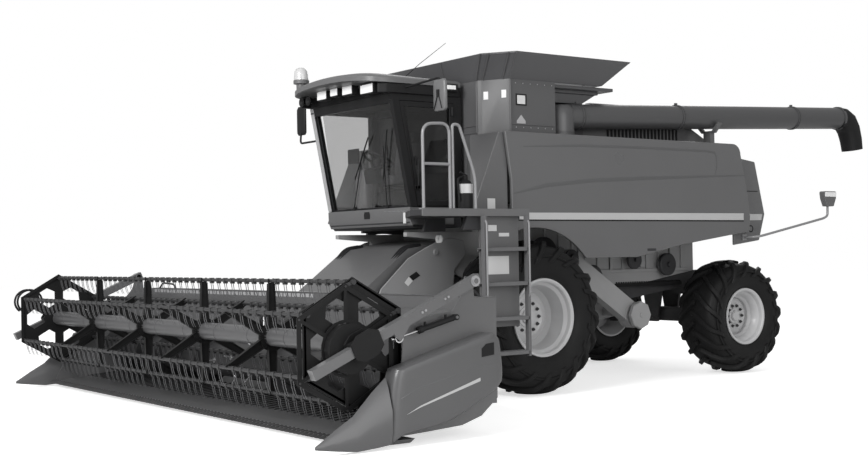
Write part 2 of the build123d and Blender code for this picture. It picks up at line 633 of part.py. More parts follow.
with BuildPart() as cab_windows:
    side_shape([(screen_x(sill_z + 2) - 40, sill_z), (screen_x(sill_z + 2) - 40 + glass, sill_z),
                (screen_x(head_z - 100) - 44 + glass, head_z - 112), (screen_x(head_z - 100) - 44, head_z - 112)],
               -cab_half + post, cab_half - post)
    side_shape([(cab_rear + 110, sill_z + 60), (cab_low_x - 82, sill_z + 60), (screen_x(head_z - 70) - 92, head_z - 70),
                (cab_rear + 110, head_z - 70)], -cab_half + 15, -cab_half + 15 + glass)
    block(cab_rear + 20, cab_rear + 20 + glass, -cab_half + post, cab_half - post, sill_z + 420, head_z - 90)
finish(cab_windows, "cab_windows")

door_hinge_x = 655.0
door_front = 14.0  # gap to the front post
with BuildPart() as cab_door:
    door = [(cab_rear + 110 + seat, sill_z + 10), (screen_x(sill_z) - 95, sill_z + 10),
            (screen_x(head_z - 76) - 95, head_z - 76), (cab_rear + 110 + seat, head_z - 76)]
    side_shape(door, cab_half - 40, cab_half)
    door_hole = [(door_hinge_x + 30, sill_z + 70), (screen_x(sill_z) - 150, sill_z + 70),
                 (screen_x(head_z - 136) - 150, head_z - 136), (door_hinge_x + 30, head_z - 136)]
    side_shape(door_hole, cab_half - 41, cab_half + 1, Mode.SUBTRACT)
    block(1150, 1190, cab_half - 1, cab_half + 45, sill_z + 200, sill_z + 240)
finish(cab_door, "cab_door")
with BuildPart() as door_glass:
    side_shape(door_hole, cab_half - 24, cab_half - 24 + glass)
finish(door_glass, "door_glass")

roof_z = 3700.0
with BuildPart() as cab_roof:
    # plan outline of the roof's front half: (forward, left)
    roof_plan = [(cab_rear, 920), (1350, 950), (1700, 900), (1850, 560)]
    plan_shape(both_sides(roof_plan), head_z, roof_z - 75)
    crown = [(x - 60 if x > 600 else x, y - 70) for x, y in roof_plan]
    add(faceted_loft([[point(x, y, height) for x, y in both_sides(points)]
                      for points, height in ((roof_plan, roof_z - 75), (crown, roof_z))]))
    # lamp recess under the front lip
    side_shape([(cab_high_x + 20, head_z - 1), (2000, head_z - 1), (2000, roof_z - 110), (cab_high_x + 20, roof_z - 110)],
               -780, 780, Mode.SUBTRACT)
finish(cab_roof, "cab_roof")

# forward, left, width of each work lamp under the roof's lip
lamp_table = [(1620, 690, 150), (1640, 500, 150), (1650, 320, 110), (1650, -320, 110), (1640, -500, 150),
              (1620, -690, 150)]
with BuildPart() as roof_fittings:
    for x, y, width in lamp_table:
        block(x - 90, x, y - width / 2, y + width / 2, head_z + 40, roof_z - 110)
    # warning beacon and aerial
    cylinder_z(1640, -640, 70, roof_z, roof_z + 90)
    with BuildSketch(Plane(origin=point(1640, -640, roof_z + 90))) as dome:
        RegularPolygon(74, 12)
    extrude(dome.sketch, amount=150, taper=6)
    cylinder_z(960, 330, 22, roof_z, roof_z + 30, sides=8)
    rod((955, 330, roof_z + 20), (300, 330, 4215), 6, 6)
finish(roof_fittings, "roof_fittings")

seat_x = 850.0
with BuildPart() as operator_seat:
    block(seat_x - 150, seat_x + 150, -170, 170, floor_low + 90, 2480)
    block(seat_x - 230, seat_x + 240, -250, 250, 2480, 2600)
    block(seat_x - 150, seat_x + 20, -271, -249, 2500, 2580)
    side_shape([(seat_x - 230, 2600), (seat_x - 110, 2600), (seat_x - 190, 3130), (seat_x - 260, 3130)], -230, 230)
    # console on the right
    block(seat_x - 150, seat_x + 270, -520, -270, floor_low + 90, 2700)
finish(operator_seat, "operator_seat")

with BuildPart() as steering_column:
    block(1135, 1205, -60, 60, floor_low + 90, floor_low + 120)
    rod((1170, 0, floor_low + 115), (1115, 0, 2760), 34)
    with BuildSketch(Plane(origin=point(1112, 0, 2765), z_dir=(-0.45, 0, 0.9))) as wheel_ring:
        RegularPolygon(200, 12)
        RegularPolygon(172, 12, mode=Mode.SUBTRACT)
        Rectangle(380, 30)
    extrude(wheel_ring.sketch, amount=28)
finish(steering_column, "steering_column")

# ---------------------------------------------------------------- platform, ladder, rails and mirrors
platform_z = 2120.0
platform_half = 1930.0
ladder_front = 1060.0
ladder_rear = 420.0
ladder_in = 1830.0
ladder_out = 1990.0
with BuildPart() as platform:
    plan_shape([(365 + 5, 1600), (365 + 5, platform_half), (1830, platform_half), (1830, 1100), (1290, 960),
                (1290, cab_half - 25), (905, cab_half - 25), (905, 1600)], 2050, platform_z)
    # bearers to the chassis
    for x_low in (950.0, 1170.0):
        block(x_low, x_low + 60, -860, ladder_in - 15, bearer_low, floor_low)
        block(x_low, x_low + 60, ladder_in - 75, ladder_in - 15, bearer_low, 2050)
finish(platform, "platform")

# handrails: each a row of (forward, left, height) corners
handrail_table = [
    [(1790, 1900, 2120), (1790, 1900, 2960), (1740, 1900, 3040), (1500, 1900, 3060), (1440, 1900, 2980),
     (1440, 1900, 2120)],
    [(1790, 1900, 2600), (1440, 1900, 2600)],
    [(1400, 1900, 2120), (1400, 1900, 2990), (1340, 1900, 3040), (1290, 1900, 2960), (1100, 1900, 2480),
     (1100, 1900, 2120)],
    [(1790, 1900, 2960), (1790, 1500, 2960), (1790, 1200, 2960), (1790, 1200, 2120)],
    [(1790, 1880, 2560), (1790, 1200, 2560)],
]
with BuildPart() as handrails:
    for corners in handrail_table:
        for start, end in zip(corners, corners[1:]):
            bar(start, end, 2 * tube_r, 2 * tube_r, up=(0.3, 0.2, 1))
finish(handrails, "handrails")

step_z = [530.0, 910.0, 1290.0, 1670.0]
with BuildPart() as ladder:
    for x_low in (ladder_rear, ladder_front - 45):
        block(x_low, x_low + 45, ladder_in + 20, ladder_out, step_z[0] - 30, 2050 - seat)
    for z in step_z:
        block(ladder_rear, ladder_front, ladder_in, ladder_out, z, z + 35)
    block(ladder_rear + 10, ladder_front - 10, ladder_in, ladder_in + 25, 830, 2050 - seat)
finish(ladder, "ladder")

with BuildPart() as mirrors:
    # left mirror head and its arm from the roof
    block(1310, 1340, 1480, 1710, 3200, 3560)
    rod((1325, 1500, 3540), (1325, 949.5, 3540), 14)
    # right mirror: arm low from the post, bent up to the head
    rod((1400, -cab_half, 3080), (1400, -1330, 3080), 13)
    rod((1400, -1330, 3070), (1380, -1330, 3230), 13)
    block(1360, 1390, -1450, -1230, 3180, 3560)
finish(mirrors, "mirrors")

with BuildPart() as warning_arm:
    block(-3740, -3660, hood_half, hood_half + 12, 1750, 1830)
    rod((-3700, hood_half + 10, 1790), (-3710, 1700, 1790), 20)
    rod((-3700, 1695, 1785), (-4970, 1880, 2050), 16)
    rod((-4965, 1880, 2040), (-4975, 1880, 2240), 12)
    block(-5060, -4900, 1830, 1930, 2230, 2360)
finish(warning_arm, "warning_arm")

# ---------------------------------------------------------------- unloading auger
with BuildPart() as unload_tube:
    cylinder_z(turret_x, turret_y, turret_r, 3060 + seat, 3420, sides=16)
    rod((turret_x, turret_y, elbow_z), (tube_end_x, turret_y, tube_end_z), auger_tube_r, 16)
    # clamp bands: forward places
    for band_x in (turret_x - 240, -2600.0, -4900.0):
        rod((band_x, turret_y, tube_z(band_x)), (band_x - 40, turret_y, tube_z(band_x - 40)), auger_tube_r + 10, 16)
finish(unload_tube, "unload_tube")

with BuildPart() as spout:
    side_shape([(tube_end_x - 165 * tan(auger_rise) - seat, tube_end_z - 165),
                (tube_end_x + 165 * tan(auger_rise) - seat, tube_end_z + 165), (tube_end_x - 60, tube_end_z + 165),
                (-spout_reach + 60, 3200), (-spout_reach, 2990), (-spout_reach + 190, 3035), (-6100, 3230)],
               turret_y - 165, turret_y + 165)
    side_shape([(tube_end_x - 98, tube_end_z - 1), (-spout_reach + 90, 3180), (-spout_reach + 20, 2950),
                (-spout_reach + 170, 2980), (-6110, 3240)], turret_y - 150, turret_y + 150, Mode.SUBTRACT)
finish(spout, "spout")

# ---------------------------------------------------------------- feeder house and lift cylinders
throat_half = 640.0
mouth_x = 2265.0
with BuildPart() as feeder_house:
    side_shape([(pivot_x, pivot_z + feeder_drum_r), (1170, 1710), (mouth_x, 900), (mouth_x, 250), (1290, 1010),
                (760, 1075), (pivot_x - 60, pivot_z - feeder_drum_r + 10)], -feeder_half, feeder_half)
    cylinder_y(pivot_x, pivot_z, feeder_drum_r, -feeder_half, feeder_half, sides=20)
    # crop channel, open to the header
    side_shape([(900, 1620), (1180, 1640), (mouth_x + 1, 840), (mouth_x + 1, 320), (1330, 1060), (900, 1180)],
               -throat_half, throat_half, Mode.SUBTRACT)
    # eye plates of the lift cylinders
    for sign in (1, -1):
        for ear_y in (lift_y - ear_gap - 20, lift_y + ear_gap):
            y_low, y_high = sorted((sign * ear_y, sign * (ear_y + 20)))
            side_shape([(1200, 1060), (1420, 930), (1380, 850), (1300, 850), (1150, 1040)], y_low, y_high)
        cylinder_y(*lift_eye, lift_pin_r, *sorted((sign * (lift_y - ear_gap - 1), sign * (lift_y + ear_gap + 1))))
    cylinder_y(pivot_x, pivot_z, feeder_shaft_r, -800, 800)
finish(feeder_house, "feeder_house")

eye_slack = 14.0  # the rod's eye is open: its hole is this much wider than the pin all round
reel_eye_slack = 18.0
gland_gap = 0.3
cylinder_width = 54.0


def along_line(start, end, distance):
    """The (forward, height) place at a distance from start towards end."""
    length = hypot(end[0] - start[0], end[1] - start[1])
    return (start[0] + (end[0] - start[0]) * distance / length, start[1] + (end[1] - start[1]) * distance / length)


def cylinder_barrel(foot, eye, y, pin_r, barrel_r, rod_r, barrel_length):
    """Barrel of a hydraulic cylinder with its foot eye, bored for the rod."""
    start = along_line(foot, eye, pin_r * 1.8)
    mouth = along_line(foot, eye, barrel_length)
    rod((start[0], y, start[1]), (mouth[0], y, mouth[1]), barrel_r)
    cylinder_y(foot[0], foot[1], pin_r * 2, y - cylinder_width / 2, y + cylinder_width / 2)
    bore = along_line(foot, eye, pin_r * 2 + 30)
    beyond = along_line(foot, eye, barrel_length + 10)
    rod((bore[0], y, bore[1]), (beyond[0], y, beyond[1]), rod_r + gland_gap, mode=Mode.SUBTRACT)
    cylinder_y(foot[0], foot[1], pin_r + fit, y - 100, y + 100, Mode.SUBTRACT)


def cylinder_rod(foot, eye, y, pin_r, rod_r, slack):
    """Rod of a hydraulic cylinder with an open eye at its end."""
    length = hypot(eye[0] - foot[0], eye[1] - foot[1])
    start = along_line(foot, eye, pin_r * 2 + 40)
    end = along_line(foot, eye, length - pin_r - slack - 4)
    rod((start[0], y, start[1]), (end[0], y, end[1]), rod_r)
    cylinder_y(eye[0], eye[1], pin_r + slack + 12, y - cylinder_width / 2, y + cylinder_width / 2)
    cylinder_y(eye[0], eye[1], pin_r + slack, y - 100, y + 100, Mode.SUBTRACT)


with BuildPart() as lift_barrels:
    for y in (lift_y, -lift_y):
        cylinder_barrel(lift_base, lift_eye, y, lift_pin_r, lift_barrel_r, lift_rod_r, 700)
finish(lift_barrels, "lift_barrels")
with BuildPart() as lift_rods:
    for y in (lift_y, -lift_y):
        cylinder_rod(lift_base, lift_eye, y, lift_pin_r, lift_rod_r, eye_slack)
finish(lift_rods, "lift_rods")

# ---------------------------------------------------------------- header
header_half = 3700.0  # inner face of the end sheets
end_sheet = 12.0
cover_out = 3885.0
knife_x = 3830.0
knife_z = 78.0
top_tube_z = 1130.0
top_tube = 110.0
back_x = 2290.0
auger_x = 2840.0
auger_z = 472.0
auger_r = 305.0
auger_core_r = 200.0
auger_shaft_r = 40.0
arm_pivot = (2600.0, 1400.0)
reel_x = 3760.0
reel_z = 894.0
arm_in = 3730.0
arm_width = 80.0
arm_depth = 90.0
arm_pin_r = 25.0
reel_foot = (2800.0, 1085.0)  # reel lift cylinder's foot: forward, height
reel_eye = (3420.0, 935.0)
reel_cylinder_y = arm_in + arm_width / 2
reel_pin_r = 14.0
reel_barrel_r = 26.0
reel_rod_r = 13.0

with BuildPart() as header_frame:
    # back sheet and floor, one rolled sheet: (forward, height)
    outside = [(2385, 1150), (2395, 440), (2500, 220), (2700, 115), (3100, 92), (3760, 62)]
    inside = [(3760, 72), (3100, 104), (2705, 127), (2509, 229), (2407, 445), (2397, 1150)]
    side_shape(outside + inside, -header_half - 1, header_half + 1)
    block(back_x, back_x + top_tube, -header_half - 1, header_half + 1, top_tube_z, top_tube_z + top_tube)
    block(back_x, back_x + top_tube, -header_half - 1, header_half + 1, 280, 380)
    for y in (-3450, -2550, -1650, -750, 750, 1650, 2550, 3450):
        block(back_x + 15, back_x + 90, y - 35, y + 35, 370, top_tube_z + 5)
    # sill beam and ribs under the floor
    block(3480, 3570, -header_half, header_half, 40, 78)
    for y in (-2700, -900, 900, 2700):
        side_shape([(2480, 60), (2450, 260), (2520, 218), (2705, 116), (3500, 78), (3500, 40)], y - 8, y + 8)
    # skid shoes
    for y in (-3600, -1800, 0, 1800, 3600):
        side_shape([(3200, 45), (3250, 12), (3480, 12), (3560, 45)], y - 90, y + 90)
    block(back_x - 50, 2600, -throat_half, throat_half, 262, 960, Mode.SUBTRACT)
    # frame of the throat that the feeder house's mouth bolts to
    block(mouth_x, mouth_x + 25, -feeder_half - 20, feeder_half + 20, 240, 1000)
    block(mouth_x - 1, mouth_x + 26, -throat_half, throat_half, 262, 960, Mode.SUBTRACT)
    block(mouth_x + 25, back_x + 20, -feeder_half - 20, -throat_half, 282, 378)
    block(mouth_x + 25, back_x + 20, throat_half, feeder_half + 20, 282, 378)
    block(mouth_x + 25, back_x + 80, -feeder_half - 20, feeder_half + 20, 960, 1000)
    # end sheets with the reel arm brackets: (forward, height)
    end_outline = [(back_x, 330), (back_x, 1240), (2540, 1250), (2560, 1440), (2640, 1440), (2700, 1240),
                   (2790, 1140), (3310, 1066), (3350, 640), (3520, 560), (3700, 240), (3790, 62), (3100, 92),
                   (2700, 115), (2480, 180)]
    side_pair(end_outline, header_half, header_half + end_sheet)
    for sign in (1, -1):
        y_low, y_high = sorted((sign * header_half, sign * (arm_in + arm_width + 16)))
        cylinder_y(*arm_pivot, arm_pin_r, y_low, y_high)
        cylinder_y(*reel_foot, reel_pin_r, *sorted((sign * header_half, sign * (reel_cylinder_y + 34))))
    cylinder_y(auger_x, auger_z, auger_shaft_r + fit, -header_half - 50, header_half + 50, Mode.SUBTRACT)
finish(header_frame, "header_frame")

with BuildPart() as cutterbar:
    block(3760, 3800, -header_half, header_half, knife_z - 18, knife_z)
    guard_pitch = 152.4
    guards = int(2 * header_half / guard_pitch) - 1
    for index in range(guards + 1):
        y = (index - guards / 2) * guard_pitch
        side_shape([(3785, knife_z - 14), (3785, knife_z + 18), (3905, knife_z - 12)], y - 11, y + 11)
finish(cutterbar, "cutterbar")

cover_outline = [(2341, 495), (2360, 860), (2420, 915), (2530, 922), (3404, 700), (3508, 640), (3560, 330),
                 (3570, 60), (3451, 98), (2988, 169), (2602, 325)]
# divider sections: forward, inner y, ridge y, outer y, floor, shoulder, ridge
divider_sections = [(3565, 3712, 3770, 3885, 40, 330, 600), (3900, 3745, 3790, 3865, 14, 150, 300),
                    (divider_reach, 3785, 3795, 3808, 60, 80, 95)]
rings = [[point(x, y, z) for y, z in ((y_in, low), (y_in, shoulder), (y_ridge, ridge), (y_out, shoulder),
                                      (y_out, low))]
         for x, y_in, y_ridge, y_out, low, shoulder, ridge in divider_sections]
with BuildPart() as end_covers:
    side_shape(cover_outline, header_half + end_sheet, cover_out)
    chamfer(end_covers.edges().filter_by(Plane.XZ).group_by(Axis.Y)[-1], 45, 60)
    add(faceted_loft(rings))
    mirror(about=Plane.XZ)
finish(end_covers, "end_covers")

# ---------------------------------------------------------------- header auger
flight_pitch = 560.0
flight_steps = 8  # flat steps a turn
flight_wall = 10.0
finger_zone = 620.0


def flight(start_y, end_y, hand):
    """Helical flighting in flat steps: four edge lines joined by flat triangles."""
    turns = abs(end_y - start_y) / flight_pitch
    count = int(turns * flight_steps)
    rings = []
    for index in range(count + 1):
        angle = hand * 2 * pi * index / flight_steps
        y = start_y + (end_y - start_y) * index / count
        ring = []
        for radius, shift in ((auger_core_r - 15, 0), (auger_r, 0), (auger_r, flight_wall),
                              (auger_core_r - 15, flight_wall)):
            ring.append(point(auger_x + radius * cos(angle), y + shift, auger_z + radius * sin(angle)))
        rings.append(ring)
    return faceted_loft(rings, turned=(2,))


auger_end = header_half - 25
left_flight = flight(auger_end, finger_zone, 1)
right_flight = flight(-auger_end - flight_wall, -finger_zone - flight_wall, 1)
with BuildPart() as header_auger:
    cylinder_y(auger_x, auger_z, auger_core_r, -auger_end, auger_end, sides=2 * flight_steps)
    add(left_flight)
    add(right_flight)
    cylinder_y(auger_x, auger_z, auger_shaft_r, -header_half - 10, header_half + 10)
    # retracting fingers over the throat: left place, angle
    for index in range(12):
        angle = radians(75 * index)
        y = (index - 5.5) * 90
        inner = (auger_x + 120 * cos(angle), y, auger_z + 120 * sin(angle))
        outer = (auger_x + (auger_r - 10) * cos(angle), y, auger_z + (auger_r - 10) * sin(angle))
        bar(inner, outer, 16, 16, up=(0, 1, 0))
finish(header_auger, "header_auger")

# ---------------------------------------------------------------- reel
bat_circle_r = 527.5
bat_r = 17.0
bat_half = 3596.0
tine_length = 174.0
tine_pitch = 240.0
bat_gap = 0.3
reel_disc_y = 3590.0
reel_disc = 8.0
reel_tube_r = 85.0
reel_shaft_r = 40.0
spider_y = [-2160.0, -720.0, 720.0, 2160.0]
spider_wall = 10.0


def reel_place(distance, angle):
    """A (forward, height) place on the reel, angle in degrees from forward towards up."""
    return (reel_x + distance * cos(radians(angle)), reel_z + distance * sin(radians(angle)))


def reel_turned(points, angle):
    """Points given as (out along an arm, across it) turned to the arm at an angle."""
    c = cos(radians(angle))
    s = sin(radians(angle))
    return [(reel_x + out * c - across * s, reel_z + out * s + across * c) for out, across in points]


notch = bat_r + bat_gap
with BuildPart() as reel_frame:
    with BuildSketch(side_plane(reel_disc_y)) as tube:
        with Locations((reel_x, reel_z)):
            RegularPolygon(reel_tube_r, 12)
    extrude(tube.sketch, amount=2 * reel_disc_y)
    cylinder_y(reel_x, reel_z, reel_shaft_r, -arm_in + 6, arm_in - 6)
    for sign in (1, -1):
        y_low, y_high = sorted((sign * reel_disc_y, sign * (reel_disc_y + reel_disc)))
        side_shape([reel_place(bat_circle_r + 45, 90 + 60 * k) for k in range(6)], y_low, y_high)
        for k in range(6):
            angle = 90 + 60 * k
            # window between two arms, then the bearing hole of the bat
            window = reel_turned([(190, -45), (330, -125), (420, -60), (420, 60), (330, 125), (190, 45)],
                                 angle + 30)
            side_shape(window, y_low - 1, y_high + 1, Mode.SUBTRACT)
            cylinder_y(*reel_place(bat_circle_r, angle), notch, y_low - 1, y_high + 1, Mode.SUBTRACT, sides=8)
    for y in spider_y:
        for k in range(6):
            # tapered arm ending in a notch for the bat: (out, across)
            arm = reel_turned([(60, -42), (bat_circle_r + 22, -notch - 14), (bat_circle_r + 22, -notch),
                               (bat_circle_r - notch, -notch), (bat_circle_r - notch, notch),
                               (bat_circle_r + 22, notch), (bat_circle_r + 22, notch + 14), (60, 42)], 90 + 60 * k)
            side_shape(arm, y - spider_wall / 2, y + spider_wall / 2)
finish(reel_frame, "reel_frame")

ring_offset = (88.0, -34.0)  # the control ring's centre from the reel's centre: forward, up
crank_y = reel_disc_y + reel_disc + clear
crank_wall = 8.0
ring_y = crank_y + crank_wall + clear
ring_wall = 8.0
ring_pin_r = 9.0
with BuildPart() as bat:
    bat_x, bat_z = reel_place(bat_circle_r, 90)
    with BuildSketch(side_plane(crank_y + crank_wall)) as tube:
        with Locations((bat_x, bat_z)):
            RegularPolygon(bat_r, 8, major_radius=True, rotation=22.5)
    extrude(tube.sketch, amount=crank_y + crank_wall + bat_half + 10)
    # crank to the control ring, with its pin
    bar((bat_x, crank_y + crank_wall / 2, bat_z),
        (bat_x + ring_offset[0], crank_y + crank_wall / 2, bat_z + ring_offset[1]), crank_wall, 30, up=(0, 0, 1))
    cylinder_y(bat_x + ring_offset[0], bat_z + ring_offset[1], ring_pin_r, crank_y, ring_y + ring_wall + 4, sides=8)
    tines = int(2 * 3500 / tine_pitch)
    for index in range(tines + 1):
        y = (index - tines / 2) * tine_pitch + 37
        with BuildSketch(level_plane(bat_z - bat_r + 6)) as tine:
            with Locations((bat_x, y)):
                RegularPolygon(4.5, 3)
        extrude(tine.sketch, amount=-tine_length)
for k in range(6):
    x, z = reel_place(bat_circle_r, 90 + 60 * k)
    piece = bat.part.moved(Location((x - bat_x, 0, z - bat_z)))
    piece.label = "reel_bat_" + str(k + 1)
    export_step(piece, "parts/" + piece.label + ".step")

eccentric_r = 215.0
with BuildPart() as control_ring:
    ring_low = ring_y
    centre = (reel_x + ring_offset[0], reel_z + ring_offset[1])
    hexagon = [reel_place(bat_circle_r + 24, 90 + 60 * k) for k in range(6)]
    inner = [reel_place(bat_circle_r - 26, 90 + 60 * k) for k in range(6)]
    side_shape([(x + ring_offset[0], z + ring_offset[1]) for x, z in hexagon], ring_low, ring_low + ring_wall)
    side_shape([(x + ring_offset[0], z + ring_offset[1]) for x, z in inner], ring_low - 1, ring_low + ring_wall + 1,
               Mode.SUBTRACT)
    for k in range(6):
        arm = reel_turned([(eccentric_r + 4, -20), (bat_circle_r - 10, -14), (bat_circle_r - 10, 14),
                           (eccentric_r + 4, 20)], 90 + 60 * k)
        side_shape([(x + ring_offset[0], z + ring_offset[1]) for x, z in arm], ring_low, ring_low + ring_wall)
    cylinder_y(*centre, eccentric_r + 32, ring_low, ring_low + ring_wall, sides=20)
    cylinder_y(*centre, eccentric_r + seat, ring_low - 1, ring_low + ring_wall + 1, Mode.SUBTRACT, sides=20)
    for k in range(6):
        x, z = reel_place(bat_circle_r, 90 + 60 * k)
        cylinder_y(x + ring_offset[0], z + ring_offset[1], ring_pin_r + bat_gap, ring_low - 1,
                   ring_low + ring_wall + 1, Mode.SUBTRACT, sides=8)
finish(control_ring, "control_ring")

arm_slope = atan2(reel_z - arm_pivot[1], reel_x - arm_pivot[0])
arm_along = (cos(arm_slope), sin(arm_slope))
arm_up = (-sin(arm_slope), cos(arm_slope))


def arm_place(along, up):
    """A (forward, height) place along the reel arm from its pivot and square to it."""
    return (arm_pivot[0] + along * arm_along[0] + up * arm_up[0],
            arm_pivot[1] + along * arm_along[1] + up * arm_up[1])


arm_length = 1830.0
centre_along = hypot(reel_x - arm_pivot[0], reel_z - arm_pivot[1])
with BuildPart() as reel_arms:
    side_pair([arm_place(-60, -arm_depth / 2), arm_place(arm_length, -arm_depth / 2),
               arm_place(arm_length, arm_depth / 2), arm_place(-60, arm_depth / 2)], arm_in, arm_in + arm_width)
    cylinder_y(*arm_pivot, arm_pin_r + fit, -4000, 4000, Mode.SUBTRACT)
    # eye plates of the lift cylinders
    eye_x, eye_z = reel_eye
    for y_low in (reel_cylinder_y - 40, reel_cylinder_y + 28):
        side_pair([arm_place(800, -arm_depth / 2 + 1), (eye_x - 26, eye_z - 10), (eye_x, eye_z - 26),
                   (eye_x + 26, eye_z - 10), arm_place(980, -arm_depth / 2 + 1)], y_low, y_low + 12)
    for sign in (1, -1):
        cylinder_y(eye_x, eye_z, reel_pin_r, *sorted((sign * (reel_cylinder_y - 40), sign * (reel_cylinder_y + 40))))
finish(reel_arms, "reel_arms")

with BuildPart() as reel_barrels:
    for y in (reel_cylinder_y, -reel_cylinder_y):
        cylinder_barrel(reel_foot, reel_eye, y, reel_pin_r, reel_barrel_r, reel_rod_r, 400)
finish(reel_barrels, "reel_barrels")
with BuildPart() as reel_rods:
    for y in (reel_cylinder_y, -reel_cylinder_y):
        cylinder_rod(reel_foot, reel_eye, y, reel_pin_r, reel_rod_r, reel_eye_slack)
finish(reel_rods, "reel_rods")

slide_gap = seat
with BuildPart() as reel_carriers:
    strap = arm_depth / 2 + slide_gap
    plate_in = arm_in - 6 - 22
    hub = [arm_place(centre_along + a, u) for a, u in
           [(-150, -70), (-150, 70), (-70, 120), (70, 120), (150, 70), (150, -70), (70, -120), (-70, -120)]]
    side_pair(hub, plate_in, plate_in + 22)
    side_pair(hub, arm_in + arm_width + 6, arm_in + arm_width + 18)
    for up_low, up_high in ((strap, strap + 22), (-strap - 22, -strap)):
        side_pair([arm_place(centre_along - 140, up_low), arm_place(centre_along + 140, up_low),
                   arm_place(centre_along + 140, up_high), arm_place(centre_along - 140, up_high)],
                  plate_in + 21, arm_in + arm_width + 7)
    # fixed eccentric disc that carries the control ring
    disc_centre = (reel_x + ring_offset[0], reel_z + ring_offset[1])
    cylinder_y(*disc_centre, eccentric_r, ring_y - 2, plate_in + 1, sides=20)
    cylinder_y(reel_x, reel_z, reel_tube_r + 12, ring_y - 3, plate_in, Mode.SUBTRACT, sides=16)
    cylinder_y(reel_x, reel_z, reel_shaft_r + fit, -3760, 3760, Mode.SUBTRACT)
finish(reel_carriers, "reel_carriers")
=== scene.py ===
# %% [markdown]
# # A combine harvester, dressed
# A combine is mostly folded sheet: big satin-painted panels, a glass cab, four lugged tyres and, in front, a
# wide header with a reel of thin tines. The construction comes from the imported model, which is the frame of
# this scene. Everything below either gives one of its pieces a finish, or puts a finer surface in its place.

import json
import math

import bmesh
import bpy
import numpy as np
from mathutils import Matrix, Vector
from mathutils.geometry import tessellate_polygon

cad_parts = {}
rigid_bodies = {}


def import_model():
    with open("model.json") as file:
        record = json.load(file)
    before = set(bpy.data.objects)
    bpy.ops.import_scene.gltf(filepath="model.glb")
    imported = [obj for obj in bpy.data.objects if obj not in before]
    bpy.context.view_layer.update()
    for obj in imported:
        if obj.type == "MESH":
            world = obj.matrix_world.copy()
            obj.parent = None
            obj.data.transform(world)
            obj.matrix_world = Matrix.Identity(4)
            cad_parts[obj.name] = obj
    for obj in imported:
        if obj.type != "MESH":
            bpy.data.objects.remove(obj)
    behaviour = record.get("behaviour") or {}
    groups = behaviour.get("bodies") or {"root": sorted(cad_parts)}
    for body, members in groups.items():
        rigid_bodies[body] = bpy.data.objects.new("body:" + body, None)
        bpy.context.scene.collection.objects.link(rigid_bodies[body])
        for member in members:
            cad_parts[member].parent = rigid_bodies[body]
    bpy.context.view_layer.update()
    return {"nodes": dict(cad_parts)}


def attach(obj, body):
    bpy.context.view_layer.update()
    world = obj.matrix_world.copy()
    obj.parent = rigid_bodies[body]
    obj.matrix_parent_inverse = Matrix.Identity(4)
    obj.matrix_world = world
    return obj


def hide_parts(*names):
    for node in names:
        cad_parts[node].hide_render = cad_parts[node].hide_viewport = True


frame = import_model()
print("pieces in the frame:", len(frame["nodes"]))

# %% [markdown]
# The machine's own sizes are easiest to say from its front axle: forward, left and up. `AXLE_X` moves such a
# place into the frame, whose origin lies about midway between the header's tips and the unloading spout.

# %% Driving sizes, in metres
AXLE_X = 1.0575
WHEELBASE = 3.653
REEL = np.array([3.760, 0.0, 0.894])
BAT_CIRCLE = 0.5275
AUGER = np.array([2.840, 0.0, 0.472])
SIDES = ((1, "left"), (-1, "right"))


def at(x, y, z):
    """A place given forward of the front axle, left and up, in the frame."""
    return np.array([AXLE_X + x, y, z], float)


def span(side, first, last):
    """Two distances from the machine's middle as a (low, high) pair on the left (1) or on the right (-1)."""
    return tuple(sorted((side * first, side * last)))


print("the front axle stands", AXLE_X, "m ahead of the frame's origin")

# %% [markdown]
# ## Shapes as arrays
# A shape here is a pair: an array of points and a list of faces. Most of them are a grid of points, so one
# helper works out the four-sided faces of a grid, and the others only say where its points lie.

# %% Grids
def grid_faces(rows, columns, wrap_rows=False, wrap_columns=False):
    """Quads between neighbours of a rows by columns grid; wrapping joins the last line back to the first."""
    i = np.arange(rows if wrap_rows else rows - 1)
    j = np.arange(columns if wrap_columns else columns - 1)
    i, j = np.meshgrid(i, j, indexing="ij")
    down, right = (i + 1) % rows, (j + 1) % columns
    quads = np.stack([i * columns + j, down * columns + j, down * columns + right, i * columns + right], -1)
    return quads.reshape(-1, 4).tolist()


def end_faces(rows, count):
    """The two flat ends of a stack of rings, each one face with as many corners as the ring."""
    return [list(range(count)), list(range(rows * count - 1, (rows - 1) * count - 1, -1))]


def joined(*shapes):
    """Several shapes as one: their points in a row, their faces counted on."""
    points, faces, count = [], [], 0
    for these, theirs in shapes:
        points.append(these)
        faces += [[index + count for index in face] for face in theirs]
        count += len(these)
    return np.concatenate(points), faces


print("a grid of 3 by 4 points has", len(grid_faces(3, 4)), "faces, and", len(grid_faces(3, 4, True, True)),
      "wrapped")


# %% Copies
def moved(shape, offset):
    """The shape moved by an offset."""
    return shape[0] + offset, shape[1]


def repeated(shape, offsets):
    """The shape once at each offset."""
    points, faces = shape
    offsets = np.asarray(offsets, float)
    copies = (points[None] + offsets[:, None]).reshape(-1, 3)
    return copies, [[index + len(points) * copy for index in face]
                    for copy in range(len(offsets)) for face in faces]


def spun(shape, centre, angles):
    """The shape turned about a crosswise axis through centre, once for each angle: x and z mix by sine and
    cosine."""
    points, faces = shape
    angles = np.asarray(angles, float)[:, None]
    local = points - centre
    x = local[None, :, 0] * np.cos(angles) + local[None, :, 2] * np.sin(angles)
    z = local[None, :, 2] * np.cos(angles) - local[None, :, 0] * np.sin(angles)
    y = np.broadcast_to(local[None, :, 1], x.shape)
    copies = (np.stack([x, y, z], -1) + centre).reshape(-1, 3)
    return copies, [[index + len(points) * copy for index in face]
                    for copy in range(len(angles)) for face in faces]


def other_side(shape):
    """The shape mirrored to the other side of the machine, its faces turned so that they still point
    outwards."""
    points, faces = shape
    return points * [1, -1, 1], [face[::-1] for face in faces]


